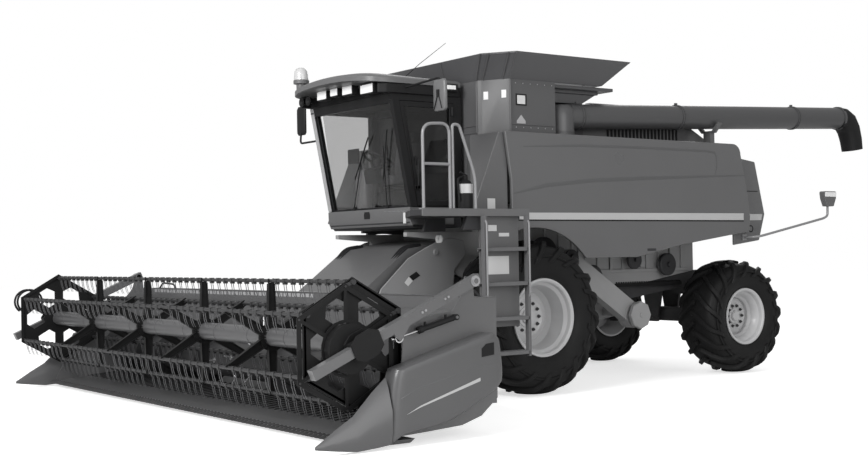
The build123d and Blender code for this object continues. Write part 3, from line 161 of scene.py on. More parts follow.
print("copies: moved, repeated, spun or mirrored")

# %% [markdown]
# Turned pieces, such as rims and tubes, are a profile carried round an axis. Bars, rails and hoses are a
# section carried along a path. Plates are an outline given a thickness.

# %% Turned shapes
def turned(profile, centre, sides=48, closed=False, axis=1):
    """Profile of (along the axis, radius) pairs carried round the axis: two coordinates are radius times
    cosine and sine of the angle. A closed profile comes back to its start, and an open one is capped where it
    ends."""
    profile = np.asarray(profile, float)
    angle = np.linspace(0, 2 * np.pi, sides, endpoint=False)
    along = np.repeat(profile[:, :1], sides, 1)
    u = profile[:, 1:] * np.cos(angle)
    v = profile[:, 1:] * np.sin(angle)
    order = {0: (along, u, v), 1: (v, along, u), 2: (u, v, along)}[axis]
    points = np.stack(order, -1).reshape(-1, 3) + centre
    rows = len(profile)
    faces = grid_faces(rows, sides, wrap_rows=closed, wrap_columns=True)
    return points, faces if closed else faces + end_faces(rows, sides)


def pipe_ring(low, high, outer, inner, centre, sides=24, axis=1):
    """A short piece of pipe: a square section of two radii carried round the axis."""
    return turned([(low, outer), (high, outer), (high, inner), (low, inner)], centre, sides, closed=True,
                  axis=axis)


print("turned: a profile of 4 points round 48 sides has", len(turned([(0, 1)] * 4, np.zeros(3))[0]), "points")


# %% Swept shapes
def ring_section(radius, sides, squash=1.0):
    """A round section: cosine and sine of the angle times the radius."""
    angle = np.linspace(0, 2 * np.pi, sides, endpoint=False)
    return np.stack([radius * np.cos(angle), radius * squash * np.sin(angle)], -1)


def flat_section(half_width, half_height):
    """A flat bar's section, from its two half sizes."""
    return [(-half_width, -half_height), (half_width, -half_height),
            (half_width, half_height), (-half_width, half_height)]


def swept(path, section, up=(0, 0, 1), scale=None):
    """A section carried along a path: each ring is the path's point plus the section measured along two
    directions square to the path, the second one as near to `up` as it can be, times the scale at that
    point."""
    path = np.asarray(path, float)
    section = np.asarray(section, float)
    steps = np.diff(path, axis=0)
    steps /= np.linalg.norm(steps, axis=1)[:, None]
    tangent = np.concatenate([steps[:1], steps[:-1] + steps[1:], steps[-1:]])
    tangent /= np.linalg.norm(tangent, axis=1)[:, None]
    side = np.cross(np.asarray(up, float), tangent)
    side /= np.linalg.norm(side, axis=1)[:, None]
    top = np.cross(tangent, side)
    size = np.ones(len(path)) if scale is None else np.asarray(scale, float)
    ring = section[None, :, :1] * side[:, None] + section[None, :, 1:] * top[:, None]
    rings = path[:, None] + size[:, None, None] * ring
    count = len(section)
    faces = [face[::-1] for face in grid_faces(len(path), count, wrap_columns=True)]
    return rings.reshape(-1, 3), faces + end_faces(len(path), count)


def rounded_path(corners, radius, steps):
    """A route with its corners rounded: each corner becomes a curve that starts and ends `radius` away from
    it, and blends the two runs by the squares of a share t and of 1 - t."""
    corners = np.asarray(corners, float)
    t = np.linspace(0, 1, steps)[:, None]
    route = [corners[:1]]
    for before, corner, after in zip(corners, corners[1:], corners[2:]):
        back, ahead = before - corner, after - corner
        near = min(radius, 0.45 * np.linalg.norm(back), 0.45 * np.linalg.norm(ahead))
        start = corner + back / np.linalg.norm(back) * near
        end = corner + ahead / np.linalg.norm(ahead) * near
        route.append((1 - t) ** 2 * start + 2 * t * (1 - t) * corner + t**2 * end)
    route.append(corners[-1:])
    return np.concatenate(route)


def bent_tube(corners, bend, radius, sides, up, steps=6):
    """A round bar or hose through places given from the front axle, with its corners rounded."""
    route = rounded_path([at(*corner) for corner in corners], bend, steps)
    return swept(route, ring_section(radius, sides), up)


def tube(start, end, radius, sides=16):
    """A straight round bar between two places given from the front axle."""
    direction = np.subtract(end, start)
    up = (0, 0, 1) if abs(direction[2]) < 0.9 * np.linalg.norm(direction) else (1, 0, 0)
    return swept([at(*start), at(*end)], ring_section(radius, sides), up)


def lofted(rings):
    """Rings of equal count joined one above the other and closed with flat ends."""
    rings = np.asarray(rings, float)
    rows, count = rings.shape[:2]
    faces = grid_faces(rows, count, wrap_columns=True)
    return rings.reshape(-1, 3), faces + end_faces(rows, count)


print("swept: a tube of 1 m with 16 sides has", len(tube((0, 0, 0), (1, 0, 0), 0.02)[1]), "faces")


# %% Cut shapes
def plate(outline, low, high, view="side"):
    """An outline given a thickness from low to high. Seen from the side its points are (forward, height), in
    plan (forward, left) and across (left, height)."""
    outline = np.asarray(outline, float)
    turn = outline[:, 0] * np.roll(outline[:, 1], -1) - np.roll(outline[:, 0], -1) * outline[:, 1]
    if (turn.sum() > 0) == (view == "side"):
        outline = outline[::-1]
    count = len(outline)
    ends = []
    for level in (low, high):
        flat = np.full(count, level)
        ends.append({"side": np.stack([outline[:, 0] + AXLE_X, flat, outline[:, 1]], -1),
                     "plan": np.stack([outline[:, 0] + AXLE_X, outline[:, 1], flat], -1),
                     "cross": np.stack([flat + AXLE_X, outline[:, 0], outline[:, 1]], -1)}[view])
    sides = [[i, (i + 1) % count, (i + 1) % count + count, i + count] for i in range(count)]
    return np.concatenate(ends), sides + [list(range(count))[::-1], list(range(count, 2 * count))]


def brick(x, y, z):
    """A square block between its limits, each a (low, high) pair."""
    return plate([(x[0], y[0]), (x[1], y[0]), (x[1], y[1]), (x[0], y[1])], z[0], z[1], view="plan")


def cut_corners(y, z, cut):
    """A rectangle across the machine between its (low, high) limits, with its four corners cut off."""
    return [(y[0], z[0] + cut), (y[0] + cut, z[0]), (y[1] - cut, z[0]), (y[1], z[0] + cut),
            (y[1], z[1] - cut), (y[1] - cut, z[1]), (y[0] + cut, z[1]), (y[0], z[1] - cut)]


def side_plates(outline, inner, outer):
    """The same upright plate on the left and on the right of the machine, as one shape."""
    return joined(*[plate(outline, *span(side, inner, outer)) for side, _ in SIDES])


print("cut: a brick has", len(brick((0, 1), (0, 1), (0, 1))[1]), "faces")

# %% [markdown]
# ## From arrays to pieces
# `piece` puts a shape into a mesh, gives it its finish and says which body it rides on. Sheet metal never has
# a knife-sharp edge, so the larger sheets get a small bevel that catches the light along their folds.

# %% Making a piece
WELD = 1e-5  # points nearer than this are one, m


def smooth_by_angle(mesh, degrees):
    """Smooth shading that keeps the edges where faces meet at more than the angle."""
    mesh.polygons.foreach_set("use_smooth", np.ones(len(mesh.polygons), bool))
    mesh.set_sharp_from_angle(angle=math.radians(degrees))


def soften(thing, width):
    """A bevel on the edges that turn by more than 30 degrees."""
    bevel = thing.modifiers.new("edge", "BEVEL")
    bevel.width = width
    bevel.segments = 2
    bevel.limit_method = "ANGLE"
    bevel.angle_limit = math.radians(30)
    bevel.harden_normals = True


def placed(name, mesh, material, body, replaces, edge, angle=35):
    """A mesh as an object in its finish, riding on a body and standing for CAD nodes where it says so."""
    mesh.materials.append(material)
    smooth_by_angle(mesh, angle)
    thing = bpy.data.objects.new(name, mesh)
    bpy.context.collection.objects.link(thing)
    if edge:
        soften(thing, edge)
    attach(thing, body)
    if replaces:
        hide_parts(*replaces)
    return thing


def piece(name, shape, material, body="machine", replaces=(), edge=0.0, angle=35):
    """A new piece from a shape: its doubled points are merged and its faces turned outwards first."""
    points, faces = shape
    mesh = bpy.data.meshes.new(name)
    mesh.from_pydata(np.asarray(points, float).tolist(), [], faces)
    mesh.validate()
    work = bmesh.new()
    work.from_mesh(mesh)
    bmesh.ops.remove_doubles(work, verts=work.verts, dist=WELD)
    bmesh.ops.recalc_face_normals(work, faces=work.faces)
    work.to_mesh(mesh)
    work.free()
    return placed(name, mesh, material, body, replaces, edge, angle)


def dressed(node, material):
    """A CAD piece whose shape is right keeps it and takes the finish."""
    thing = frame["nodes"][node]
    thing.data.materials.clear()
    thing.data.materials.append(material)
    return thing


def folded(node, material, body, edge):
    """A copy of a CAD piece with its triangles merged back into flat sheets and its edges bevelled, standing
    for it."""
    mesh = bpy.data.meshes.new(node + "_sheet")
    work = bmesh.new()
    work.from_mesh(frame["nodes"][node].data)
    bmesh.ops.remove_doubles(work, verts=work.verts, dist=WELD)
    bmesh.ops.dissolve_limit(work, angle_limit=math.radians(0.6), verts=work.verts, edges=work.edges)
    work.to_mesh(mesh)
    work.free()
    return placed(node + "_sheet", mesh, material, body, (node,), edge)


print("a piece needs a name, a shape, a finish and a body to ride on")

# %% [markdown]
# ## Finishes
# Farm machinery is sprayed in a two-pack enamel: even in colour, faintly dimpled like orange peel, and duller
# where dust settles. One function builds such a paint from noise on the object's own coordinates, and the
# others change its numbers: rubber is rough and dusty low down, cast and black parts are flatter,
# chrome is bare.

# %% Paint and rubber
def add_node(nodes, kind, values=(), **settings):
    """A new shader node with its settings, and with values on its input sockets by name or number."""
    node = nodes.new("ShaderNode" + kind)
    for name, setting in settings.items():
        setattr(node, name, setting)
    for socket, value in dict(values).items():
        node.inputs[socket].default_value = value
    return node


def new_material(name):
    """A material with its nodes and links, entered in the list of slots."""
    material = bpy.data.materials.new(name)
    material.use_nodes = True
    return material, material.node_tree.nodes, material.node_tree.links


def dusted(nodes, links, place, colour, dust, dust_top):
    """Dust over a colour: its share grows from the height dust_top down to the ground, times a spotty
    noise."""
    split = add_node(nodes, "SeparateXYZ")
    links.new(place.outputs["Object"], split.inputs[0])
    height = add_node(nodes, "MapRange", {"From Min": dust_top, "From Max": 0.0})
    links.new(split.outputs["Z"], height.inputs["Value"])
    spots = add_node(nodes, "TexNoise", {"Scale": 9.0, "Detail": 8.0})
    links.new(place.outputs["Object"], spots.inputs["Vector"])
    amount = add_node(nodes, "Math", operation="MULTIPLY")
    links.new(height.outputs[0], amount.inputs[0])
    links.new(spots.outputs["Fac"], amount.inputs[1])
    share = add_node(nodes, "Math", {1: dust}, operation="MULTIPLY")
    links.new(amount.outputs[0], share.inputs[0])
    dusty = add_node(nodes, "MixRGB", {2: (0.30, 0.295, 0.29, 1)})
    links.new(share.outputs[0], dusty.inputs[0])
    links.new(colour, dusty.inputs[1])
    return dusty.outputs[0]


def finish(name, colour, roughness, metal=0.0, coat=0.0, drift=0.06, dimple=0.03, dimple_size=90.0,
           dust=0.0, dust_top=1.6, gloss=0.5):
    """A surface from noise: broad noise drifts the colour and the roughness, fine noise gives the bump, and
    dust lightens what lies low."""
    material, nodes, links = new_material(name)
    shader = nodes["Principled BSDF"]
    place = add_node(nodes, "TexCoord")
    broad = add_node(nodes, "TexNoise", {"Scale": 1.7, "Detail": 6.0})
    links.new(place.outputs["Object"], broad.inputs["Vector"])
    low = [channel * (1 - drift) for channel in colour]
    high = [min(channel * (1 + drift) + 0.002, 1.0) for channel in colour]
    blend = add_node(nodes, "MixRGB", {1: (*low, 1), 2: (*high, 1)})
    links.new(broad.outputs["Fac"], blend.inputs[0])
    out = dusted(nodes, links, place, blend.outputs[0], dust, dust_top) if dust else blend.outputs[0]
    links.new(out, shader.inputs["Base Color"])
    rough = add_node(nodes, "MapRange",
                     {"To Min": max(roughness - 0.06, 0.02), "To Max": min(roughness + 0.08, 1.0)})
    links.new(broad.outputs["Fac"], rough.inputs["Value"])
    links.new(rough.outputs[0], shader.inputs["Roughness"])
    if dimple:
        fine = add_node(nodes, "TexNoise", {"Scale": dimple_size, "Detail": 2.0})
        links.new(place.outputs["Object"], fine.inputs["Vector"])
        bump = add_node(nodes, "Bump", {"Strength": dimple, "Distance": 0.004})
        links.new(fine.outputs["Fac"], bump.inputs["Height"])
        links.new(bump.outputs[0], shader.inputs["Normal"])
    for socket, value in {"Metallic": metal, "Specular IOR Level": gloss, "Coat Weight": coat,
                          "Coat Roughness": 0.18}.items():
        shader.inputs[socket].default_value = value
    return material


body_paint = finish("body_enamel", (0.098, 0.098, 0.100), 0.34, coat=0.35, drift=0.05)
panel_paint = finish("panel_enamel", (0.095, 0.095, 0.097), 0.30, coat=0.45, drift=0.04)
tank_paint = finish("tank_enamel", (0.070, 0.070, 0.072), 0.50, coat=0.05, drift=0.05)
roof_paint = finish("roof_enamel", (0.105, 0.105, 0.107), 0.45, coat=0.1, drift=0.05)
star_paint = finish("reel_tube_enamel", (0.075, 0.075, 0.077), 0.40, coat=0.2, drift=0.1)
dark_sheet = finish("extension_enamel", (0.070, 0.070, 0.073), 0.42, coat=0.2, drift=0.08)
black_paint = finish("black_enamel", (0.010, 0.010, 0.0105), 0.48, drift=0.2, gloss=0.18)
frame_paint = finish("chassis_enamel", (0.030, 0.030, 0.032), 0.5, drift=0.15, dust=0.25, gloss=0.3)
# The underbody is painted pale to lift the shade under the body, as painted light; its dust is a real mark.
under_paint = finish("underbody_enamel", (0.270, 0.270, 0.272), 0.5, drift=0.12, dust=0.1)
tube_paint = finish("tube_enamel", (0.058, 0.058, 0.060), 0.42, coat=0.15, drift=0.06)
pale_paint = finish("pale_enamel", (0.33, 0.33, 0.335), 0.36, coat=0.3, drift=0.03)
rail_paint = finish("rail_enamel", (0.20, 0.20, 0.205), 0.35, coat=0.25, drift=0.05)
stripe_paint = finish("stripe_film", (0.42, 0.42, 0.42), 0.35, drift=0.02, dimple=0.0)
feeder_paint = finish("feeder_enamel", (0.105, 0.105, 0.107), 0.45, coat=0.2, drift=0.06)
# The shield paint is a pale sheet colour, made lighter still to lift the cab's shade on the feeder: partly
# painted light.
shield_paint = finish("shield_enamel", (0.215, 0.215, 0.218), 0.45, coat=0.2, drift=0.06)
# The cover paint also colours the side panels' folds, a shade darker than the panels: painted shade along the
# folds.
cover_and_fold_shade_paint = finish("cover_and_fold_shade_enamel", (0.076, 0.076, 0.078), 0.38, coat=0.2, drift=0.04)
ladder_paint = finish("ladder_enamel", (0.105, 0.105, 0.108), 0.45, drift=0.12, dust=0.1)
rim_paint = finish("rim_enamel", (0.46, 0.46, 0.465), 0.38, coat=0.25, drift=0.05, dust=0.12)
auger_paint = finish("auger_enamel", (0.032, 0.032, 0.033), 0.42, drift=0.2, gloss=0.3)
reel_paint = finish("reel_enamel", (0.009, 0.009, 0.0092), 0.45, drift=0.2, gloss=0.16)
bat_paint = finish("bat_enamel", (0.030, 0.030, 0.031), 0.42, drift=0.2, gloss=0.3)
bright_steel = finish("worn_steel", (0.46, 0.46, 0.47), 0.32, metal=1.0, drift=0.1)
chrome = finish("chrome_rod", (0.75, 0.75, 0.76), 0.12, metal=1.0, drift=0.02, dimple=0.0)
tine_steel = finish("tine_steel", (0.085, 0.085, 0.088), 0.42, drift=0.1, dimple=0.0)
rubber = finish("tyre_rubber", (0.0058, 0.0058, 0.006), 0.52, drift=0.25, dimple=0.25, dimple_size=60.0,
                dust=0.025, dust_top=1.9, gloss=0.18)
soft_rubber = finish("hose_rubber", (0.012, 0.012, 0.013), 0.55, drift=0.15, dimple=0.05, gloss=0.2)
plastic = finish("moulded_plastic", (0.010, 0.010, 0.0105), 0.55, drift=0.1, dimple=0.12,
                 dimple_size=220.0, gloss=0.2)
grey_plastic = finish("trim_plastic", (0.11, 0.11, 0.112), 0.5, drift=0.06, dimple=0.1,
                      dimple_size=220.0)

# %% [markdown]
# Glass needs its own shader. Cab glass is lightly tinted, so that the driver's place shows through it. Lamp
# glass scatters light like a pale dish. The seat cloth has a woven bump from two crossed waves.

# %% Glass, lamps and cloth
def glazing(name, tint):
    """Thin tinted glass: see-through mixed with gloss, whose share is 4.5% face on and grows with the fifth
    power of how far the surface is turned away, which is Schlick's rule. It darkens but does not bend
    light."""
    material, nodes, links = new_material(name)
    nodes.remove(nodes["Principled BSDF"])
    clear = add_node(nodes, "BsdfTransparent", {0: (tint, tint, tint, 1)})
    gloss = add_node(nodes, "BsdfGlossy", {"Color": (0.9, 0.9, 0.9, 1), "Roughness": 0.03})
    facing = add_node(nodes, "LayerWeight", {"Blend": 0.5})
    steep = add_node(nodes, "Math", {1: 5.0}, operation="POWER")
    links.new(facing.outputs["Facing"], steep.inputs[0])
    share = add_node(nodes, "Math", {1: 0.90, 2: 0.045}, operation="MULTIPLY_ADD")
    links.new(steep.outputs[0], share.inputs[0])
    place = add_node(nodes, "TexCoord")
    film = add_node(nodes, "TexNoise", {"Scale": 2.0})
    links.new(place.outputs["Object"], film.inputs["Vector"])
    bump = add_node(nodes, "Bump", {"Strength": 0.02})
    links.new(film.outputs["Fac"], bump.inputs["Height"])
    links.new(bump.outputs[0], gloss.inputs["Normal"])
    mix = add_node(nodes, "MixShader")
    for socket, source in enumerate((share, clear, gloss)):
        links.new(source.outputs[0], mix.inputs[socket])
    links.new(mix.outputs[0], nodes["Material Output"].inputs["Surface"])
    return material


def cloth(name, colour):
    """Woven cloth: two wave patterns at right angles multiply into a bump."""
    material = finish(name, colour, 0.85, drift=0.1, dimple=0.0)
    nodes, links = material.node_tree.nodes, material.node_tree.links
    weave = add_node(nodes, "Math", operation="MULTIPLY")
    for socket, direction in enumerate(("X", "Z")):
        wave = add_node(nodes, "TexWave", {"Scale": 90.0}, bands_direction=direction)
        links.new(nodes["Texture Coordinate"].outputs["Object"], wave.inputs["Vector"])
        links.new(wave.outputs["Fac"], weave.inputs[socket])
    bump = add_node(nodes, "Bump", {"Strength": 0.4, "Distance": 0.002})
    links.new(weave.outputs[0], bump.inputs["Height"])
    links.new(bump.outputs[0], nodes["Principled BSDF"].inputs["Normal"])
    return material


windscreen_glass = glazing("windscreen_glass", 0.92)
clear_glass = glazing("clear_glass", 0.74)
side_glass = glazing("side_glass", 0.50)
lamp_glass = finish("lamp_lens", (0.80, 0.80, 0.80), 0.15, coat=0.6, drift=0.05, dimple=0.15,
                    dimple_size=40.0)
beacon_glass = finish("beacon_lens", (0.50, 0.50, 0.50), 0.15, coat=0.6, drift=0.10, dimple=0.4,
                      dimple_size=30.0)
dark_lens = finish("dark_lens", (0.035, 0.035, 0.036), 0.12, coat=0.6, drift=0.1, dimple=0.1,
                   dimple_size=60.0)
mirror_glass = finish("mirror_glass", (0.6, 0.6, 0.6), 0.04, metal=1.0, drift=0.02, dimple=0.0)
plate_film = finish("blank_plate", (0.55, 0.55, 0.55), 0.4, drift=0.03, dimple=0.0)
seat_cloth = cloth("seat_cloth", (0.03, 0.03, 0.032))

# %% [markdown]
# ## Wheels
# A drive tyre is a radial casing with bent rubber bars. The casing is a turned profile. Each bar starts at
# the middle of the tread, sweeps back towards the shoulder and runs down over it, so its centre line is a
# curve on the casing. A section is carried along that line and stands up from the rubber, for both halves of
# the tread in turn.

# %% Tyre casing
LUG_HEIGHT = 0.046


def casing_profile(radius, width, bead):
    """Half of a tyre's outside, from the middle of the tread to the bead, as (across, radius) pairs."""
    half = width / 2
    wall = radius - bead
    return np.array([
        (0.0, radius), (half * 0.30, radius - 0.004), (half * 0.60, radius - 0.014),
        (half * 0.80, radius - 0.034), (half * 0.92, radius - 0.075), (half * 0.985, radius - 0.155),
        (half, radius - wall * 0.42), (half * 0.985, radius - wall * 0.60), (half * 0.93, radius - wall * 0.78),
        (half * 0.855, radius - wall * 0.90), (half * 0.86, radius - wall * 0.955), (half * 0.83, bead),
    ])


def catmull_rom(a, b, c, d, t):
    """A cubic from b to c whose slope at each is half the difference of its neighbours."""
    return 0.5 * (2 * b + (c - a) * t + (2 * a - 5 * b + 4 * c - d) * t**2 + (3 * b - a - 3 * c + d) * t**3)


def smooth_profile(profile, steps=4):
    """More points between the given ones, by Catmull-Rom curves; the ends lean on points mirrored beyond
    them."""
    p = np.concatenate([2 * profile[:1] - profile[1:2], profile, 2 * profile[-1:] - profile[-2:-1]])
    t = np.linspace(0, 1, steps, endpoint=False)[:, None, None]
    curve = catmull_rom(p[:-3], p[1:-2], p[2:-1], p[3:], t)
    return np.concatenate([curve.transpose(1, 0, 2).reshape(-1, 2), profile[-1:]])


print("casing points across half a tyre:", len(smooth_profile(casing_profile(0.9, 0.77, 0.43))))


# %% Tyre bars
def lug(radius, width, bead, angle, side, bar_width=0.062):
    """One bar: stations s run from just past the middle to below the shoulder, its angle trails by a curve of
    s, and each station has six points that are the casing pushed in and out square to itself."""
    s = np.linspace(-0.06, 1.0, 14)
    outline = smooth_profile(casing_profile(radius - LUG_HEIGHT, width * 0.955, bead), 6)
    outline = outline[: int(len(outline) * 0.60)]
    length = np.concatenate([[0], np.cumsum(np.linalg.norm(np.diff(outline, axis=0), axis=1))])
    share = np.clip(s, 0, 1) * length[-1]
    across = np.interp(share, length, outline[:, 0]) + np.minimum(s, 0) * length[-1]
    level = np.interp(share, length, outline[:, 1])
    slope_x, slope_r = np.gradient(across), np.gradient(level)
    norm = np.hypot(slope_x, slope_r)
    out_x, out_r = -slope_r / norm, slope_x / norm
    trail = 0.40 * np.clip(s, 0, 1) ** 1.15 * width / 0.62 / radius
    spread = bar_width * (0.85 + 0.35 * np.clip(s, 0, 1))
    rise = LUG_HEIGHT * np.interp(s, [-0.06, 0.0, 0.75, 1.0], [0.86, 1.0, 0.98, 0.35])
    section_u = np.array([-0.78, -0.56, -0.46, 0.46, 0.56, 0.78])
    section_v = np.array([-0.25, 0.84, 1.0, 1.0, 0.84, -0.25])
    x = across[:, None] + out_x[:, None] * rise[:, None] * section_v
    r = level[:, None] + out_r[:, None] * rise[:, None] * section_v
    theta = angle + trail[:, None] + spread[:, None] * section_u / radius
    return lofted(np.stack([r * np.sin(theta), side * x, r * np.cos(theta)], -1))


def tyre(name, node, body, centre, radius, width, bead, lugs):
    """The casing, its two rows of bars, the second row half a step on, and a moulded line round each wall."""
    half = smooth_profile(casing_profile(radius - LUG_HEIGHT, width * 0.965, bead))
    foot = [half[-1, 0] * 0.86, bead - 0.012]
    profile = np.concatenate([half, [foot], [[-foot[0], foot[1]]], (half * [-1, 1])[::-1]])
    casing = turned(profile[:-1], centre, sides=96, closed=True)
    step = 2 * np.pi / lugs
    bars = [spun(lug(radius, width, bead, phase * step, side), np.zeros(3), step * np.arange(lugs))
            for side, phase in ((1, 0.0), (-1, 0.5))]
    line = (radius + bead) / 2 + 0.04
    wall = width * 0.4825
    ridge = np.array([(wall * 0.993, line + 0.012), (wall + 0.0045, line + 0.008),
                      (wall + 0.0045, line - 0.008), (wall * 0.993, line - 0.012)])
    wall_lines = [turned(ridge * [side, 1], centre, sides=96, closed=True) for side in (1, -1)]
    shape = joined(casing, moved(joined(*bars), centre), *wall_lines)
    return piece(name, shape, rubber, body, replaces=(node,), angle=32)


print("a bar has", len(lug(0.9, 0.77, 0.43, 0.0, 1)[1]), "faces")

# %% [markdown]
# The rim is pressed steel: a flange that holds the bead, a drop for fitting the tyre and a dished disc bolted
# to the hub. All of it is one turned profile, with the disc near the middle of the wheel. The nuts stand in a
# circle round a hub cap.

# %% Rims
def rim(name, node, body, centre, bead, width, face_y, side):
    """Outer flange, well, disc and inner flange as one closed turned profile, back over the disc's inner
    side."""
    lip = width * 0.415
    face = (face_y - centre[1]) * side
    profile = np.array([
        (lip, bead + 0.020), (lip + 0.012, bead + 0.016), (lip + 0.012, bead - 0.004),
        (lip - 0.004, bead - 0.020), (lip - 0.050, bead - 0.028), (lip - 0.085, bead - 0.060),
        (lip * 0.45, bead - 0.078), (face + 0.050, bead - 0.090), (face + 0.030, bead - 0.105),
        (face - 0.012, bead * 0.70), (face + 0.016, bead * 0.60), (face + 0.030, bead * 0.50),
        (face + 0.012, bead * 0.42), (face + 0.006, 0.10), (face - 0.012, 0.10), (face - 0.006, bead * 0.42),
        (face + 0.010, bead * 0.50), (face - 0.004, bead * 0.62), (face - 0.032, bead * 0.70),
        (face + 0.006, bead - 0.085), (-lip * 0.5, bead - 0.068), (-lip + 0.030, bead - 0.018),
        (-lip - 0.012, bead - 0.004), (-lip - 0.012, bead + 0.016), (-lip, bead + 0.020),
        (-lip + 0.050, bead - 0.004), (0.0, bead - 0.055), (lip - 0.050, bead - 0.006),
    ])
    disc = turned(profile * [side, 1], centre, sides=72, closed=True)
    return piece(name, disc, rim_paint, body, replaces=(node,), angle=28)


def outward(profile, side, middle, sides):
    """A stepped button turned about a crosswise axis, its steps counted outwards from the middle."""
    return turned(np.array(profile) * [side, 1], middle, sides)


def hub(name, body, centre, face, side, circle, studs, cap_radius, cap_depth=0.05):
    """Nuts with washers on a bolt circle and a stepped cap in the middle; `face` is the disc's place left of
    the middle of the machine and `side` says which way is out."""
    middle = np.array([centre[0], face, centre[2]])
    steps = [(0.002, cap_radius * 1.45), (0.016, cap_radius * 1.42), (0.018, cap_radius * 1.05),
             (cap_depth * 0.8, cap_radius), (cap_depth, cap_radius * 0.86), (cap_depth, 0.0)]
    cap = outward(steps, side, middle, 36)
    angle = np.linspace(0, 2 * np.pi, studs, endpoint=False)
    seats = np.stack([circle * np.cos(angle), np.zeros(studs), circle * np.sin(angle)], -1)
    washer = outward([(0.004, 0.028), (0.010, 0.028), (0.010, 0.0)], side, middle, 16)
    nut = outward([(0.008, 0.0205), (0.028, 0.0205), (0.031, 0.018), (0.031, 0.0)], side, middle, 6)
    stud = outward([(0.028, 0.011), (0.044, 0.011), (0.046, 0.009), (0.046, 0.0)], side, middle, 12)
    piece(name + "_cap", joined(cap, repeated(washer, seats)), rim_paint, body, angle=30)
    return piece(name, joined(repeated(nut, seats), repeated(stud, seats)), frame_paint, body, angle=30)


print("a wheel is a tyre, a rim and a hub")

# %% Four wheels
FRONT_TYRE = (0.895, 0.770, 0.432, 19)  # radius, width, bead radius, bars a side
REAR_TYRE = (0.748, 0.640, 0.353, 17)
for side, word in SIDES:
    front, front_wheel = at(0, side * 1.397, FRONT_TYRE[0]), word + "_front_wheel"
    rear, rear_wheel = at(-WHEELBASE, side * 1.272, REAR_TYRE[0]), word + "_rear_wheel"
    tyre(word + "_front_tread", word + "_front_tyre", front_wheel, front, *FRONT_TYRE)
    tyre(word + "_rear_tread", word + "_rear_tyre", rear_wheel, rear, *REAR_TYRE)
    rim(word + "_front_disc", word + "_front_rim", front_wheel, front, FRONT_TYRE[2], FRONT_TYRE[1],
        side * 1.400, side)
    rim(word + "_rear_disc", word + "_rear_rim", rear_wheel, rear, REAR_TYRE[2], REAR_TYRE[1], side * 1.330,
        side)
    hub(word + "_front_hub", front_wheel, front, side * 1.405, side, 0.172, 12, 0.085)
    hub(word + "_rear_hub", rear_wheel, rear, side * 1.336, side, 0.138, 10, 0.068)
print("wheels: 4 tyres with bent bars, 4 rims, 4 hubs")

# %% [markdown]
# ## Sheets that keep their shape
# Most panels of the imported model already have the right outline. Their triangles are merged back into flat
# sheets, their edges are rounded and they get their enamel. What is glossy, matt or dusty is said here, once
# for each.

# %% Finish for every sheet
SHEETS = {
    # node: (paint, body, edge)
    "chassis_frame": (frame_paint, "machine", 0.006),
    "front_axle": (frame_paint, "machine", 0.006),
    "rear_axle": (frame_paint, "machine", 0.006),
    # the pale underbody paint on these sheets lifts their shade, as painted light
    "separator_body": (under_paint, "machine", 0.008),
    "cleaning_shoe": (under_paint, "machine", 0.008),
    "rear_hood": (body_paint, "machine", 0.012),
    "elevators": (under_paint, "machine", 0.006),
    "grain_tank": (tank_paint, "machine", 0.008),
    "tank_extension": (dark_sheet, "machine", 0.004),
    "engine_hood": (body_paint, "machine", 0.010),
    "engine_block": (black_paint, "machine", 0.010),
    "front_corner_panels": (body_paint, "machine", 0.010),
    "cab_floor": (frame_paint, "machine", 0.006),
    "cab_frame": (black_paint, "machine", 0.004),
    "cab_door": (black_paint, "door", 0.004),
    "feeder_house": (feeder_paint, "header", 0.008),
    "header_frame": (body_paint, "header", 0.004),
    "reel_arms": (panel_paint, "reel_lift_arms", 0.005),
    "reel_carriers": (reel_paint, "reel_slides", 0.004),
    "reel_frame": (reel_paint, "pickup_reel", 0.003),
    "control_ring": (reel_paint, "reel_control_ring", 0.002),
    "lift_barrels": (black_paint, "header_lift_barrels", 0.003),
    "lift_rods": (chrome, "header_lift_rods", 0.0),
    "reel_barrels": (black_paint, "reel_lift_barrels", 0.003),
    "reel_rods": (chrome, "reel_lift_rods", 0.0),
    "left_knuckle": (frame_paint, "left_steering_knuckle", 0.004),
    "right_knuckle": (frame_paint, "right_steering_knuckle", 0.004),
}
for node, (paint, body, edge) in SHEETS.items():
    folded(node, paint, body, edge)
dressed("door_glass", side_glass)
print("sheets merged and finished:", len(SHEETS))

# %% [markdown]
# ## The cab
# The roof is a moulded cap: an outline in plan, smoothed into a curve, carried up through a few heights and
# drawn in a little more at each, so that the lip rounds over into a nearly flat crown. Its front lip rises in
# the middle. Under it the work lamps sit in a dark recess between two cheeks.

# %% Roof
def both_halves(half):
    """A plan outline from its left half, front to rear order kept, closed over the right side."""
    half = np.asarray(half, float)
    return np.concatenate([half, (half * [1, -1])[::-1]])


roof_half = smooth_profile(np.array([(0.53, 0.915), (0.95, 0.940), (1.35, 0.948), (1.60, 0.930), (1.74, 0.850),
                                     (1.815, 0.680), (1.842, 0.40), (1.850, 0.0)]), 5)[:-1]
roof_plan = both_halves(roof_half)
ROOF_MIDDLE = np.array([1.05, 0.0])
ROOF_ARCH = 0.062  # rise of the front lip in the middle, m
ROOF_LEVELS = [  # height, share drawn in towards the middle
    (3.585, 0.0), (3.600, 0.0), (3.622, 0.0), (3.640, 0.0), (3.656, 0.020), (3.668, 0.060), (3.682, 0.16),
    (3.693, 0.36), (3.699, 0.62)]
roof_rings = []
for height, share in ROOF_LEVELS:
    plan = roof_plan + (ROOF_MIDDLE - roof_plan) * share
    arch = ROOF_ARCH * (1 - (plan[:, 1] / 0.95) ** 2) * np.clip((plan[:, 0] - 0.9) / 0.7, 0, 1)
    roof_rings.append(np.column_stack([plan[:, 0] + AXLE_X, plan[:, 1], height + arch]))
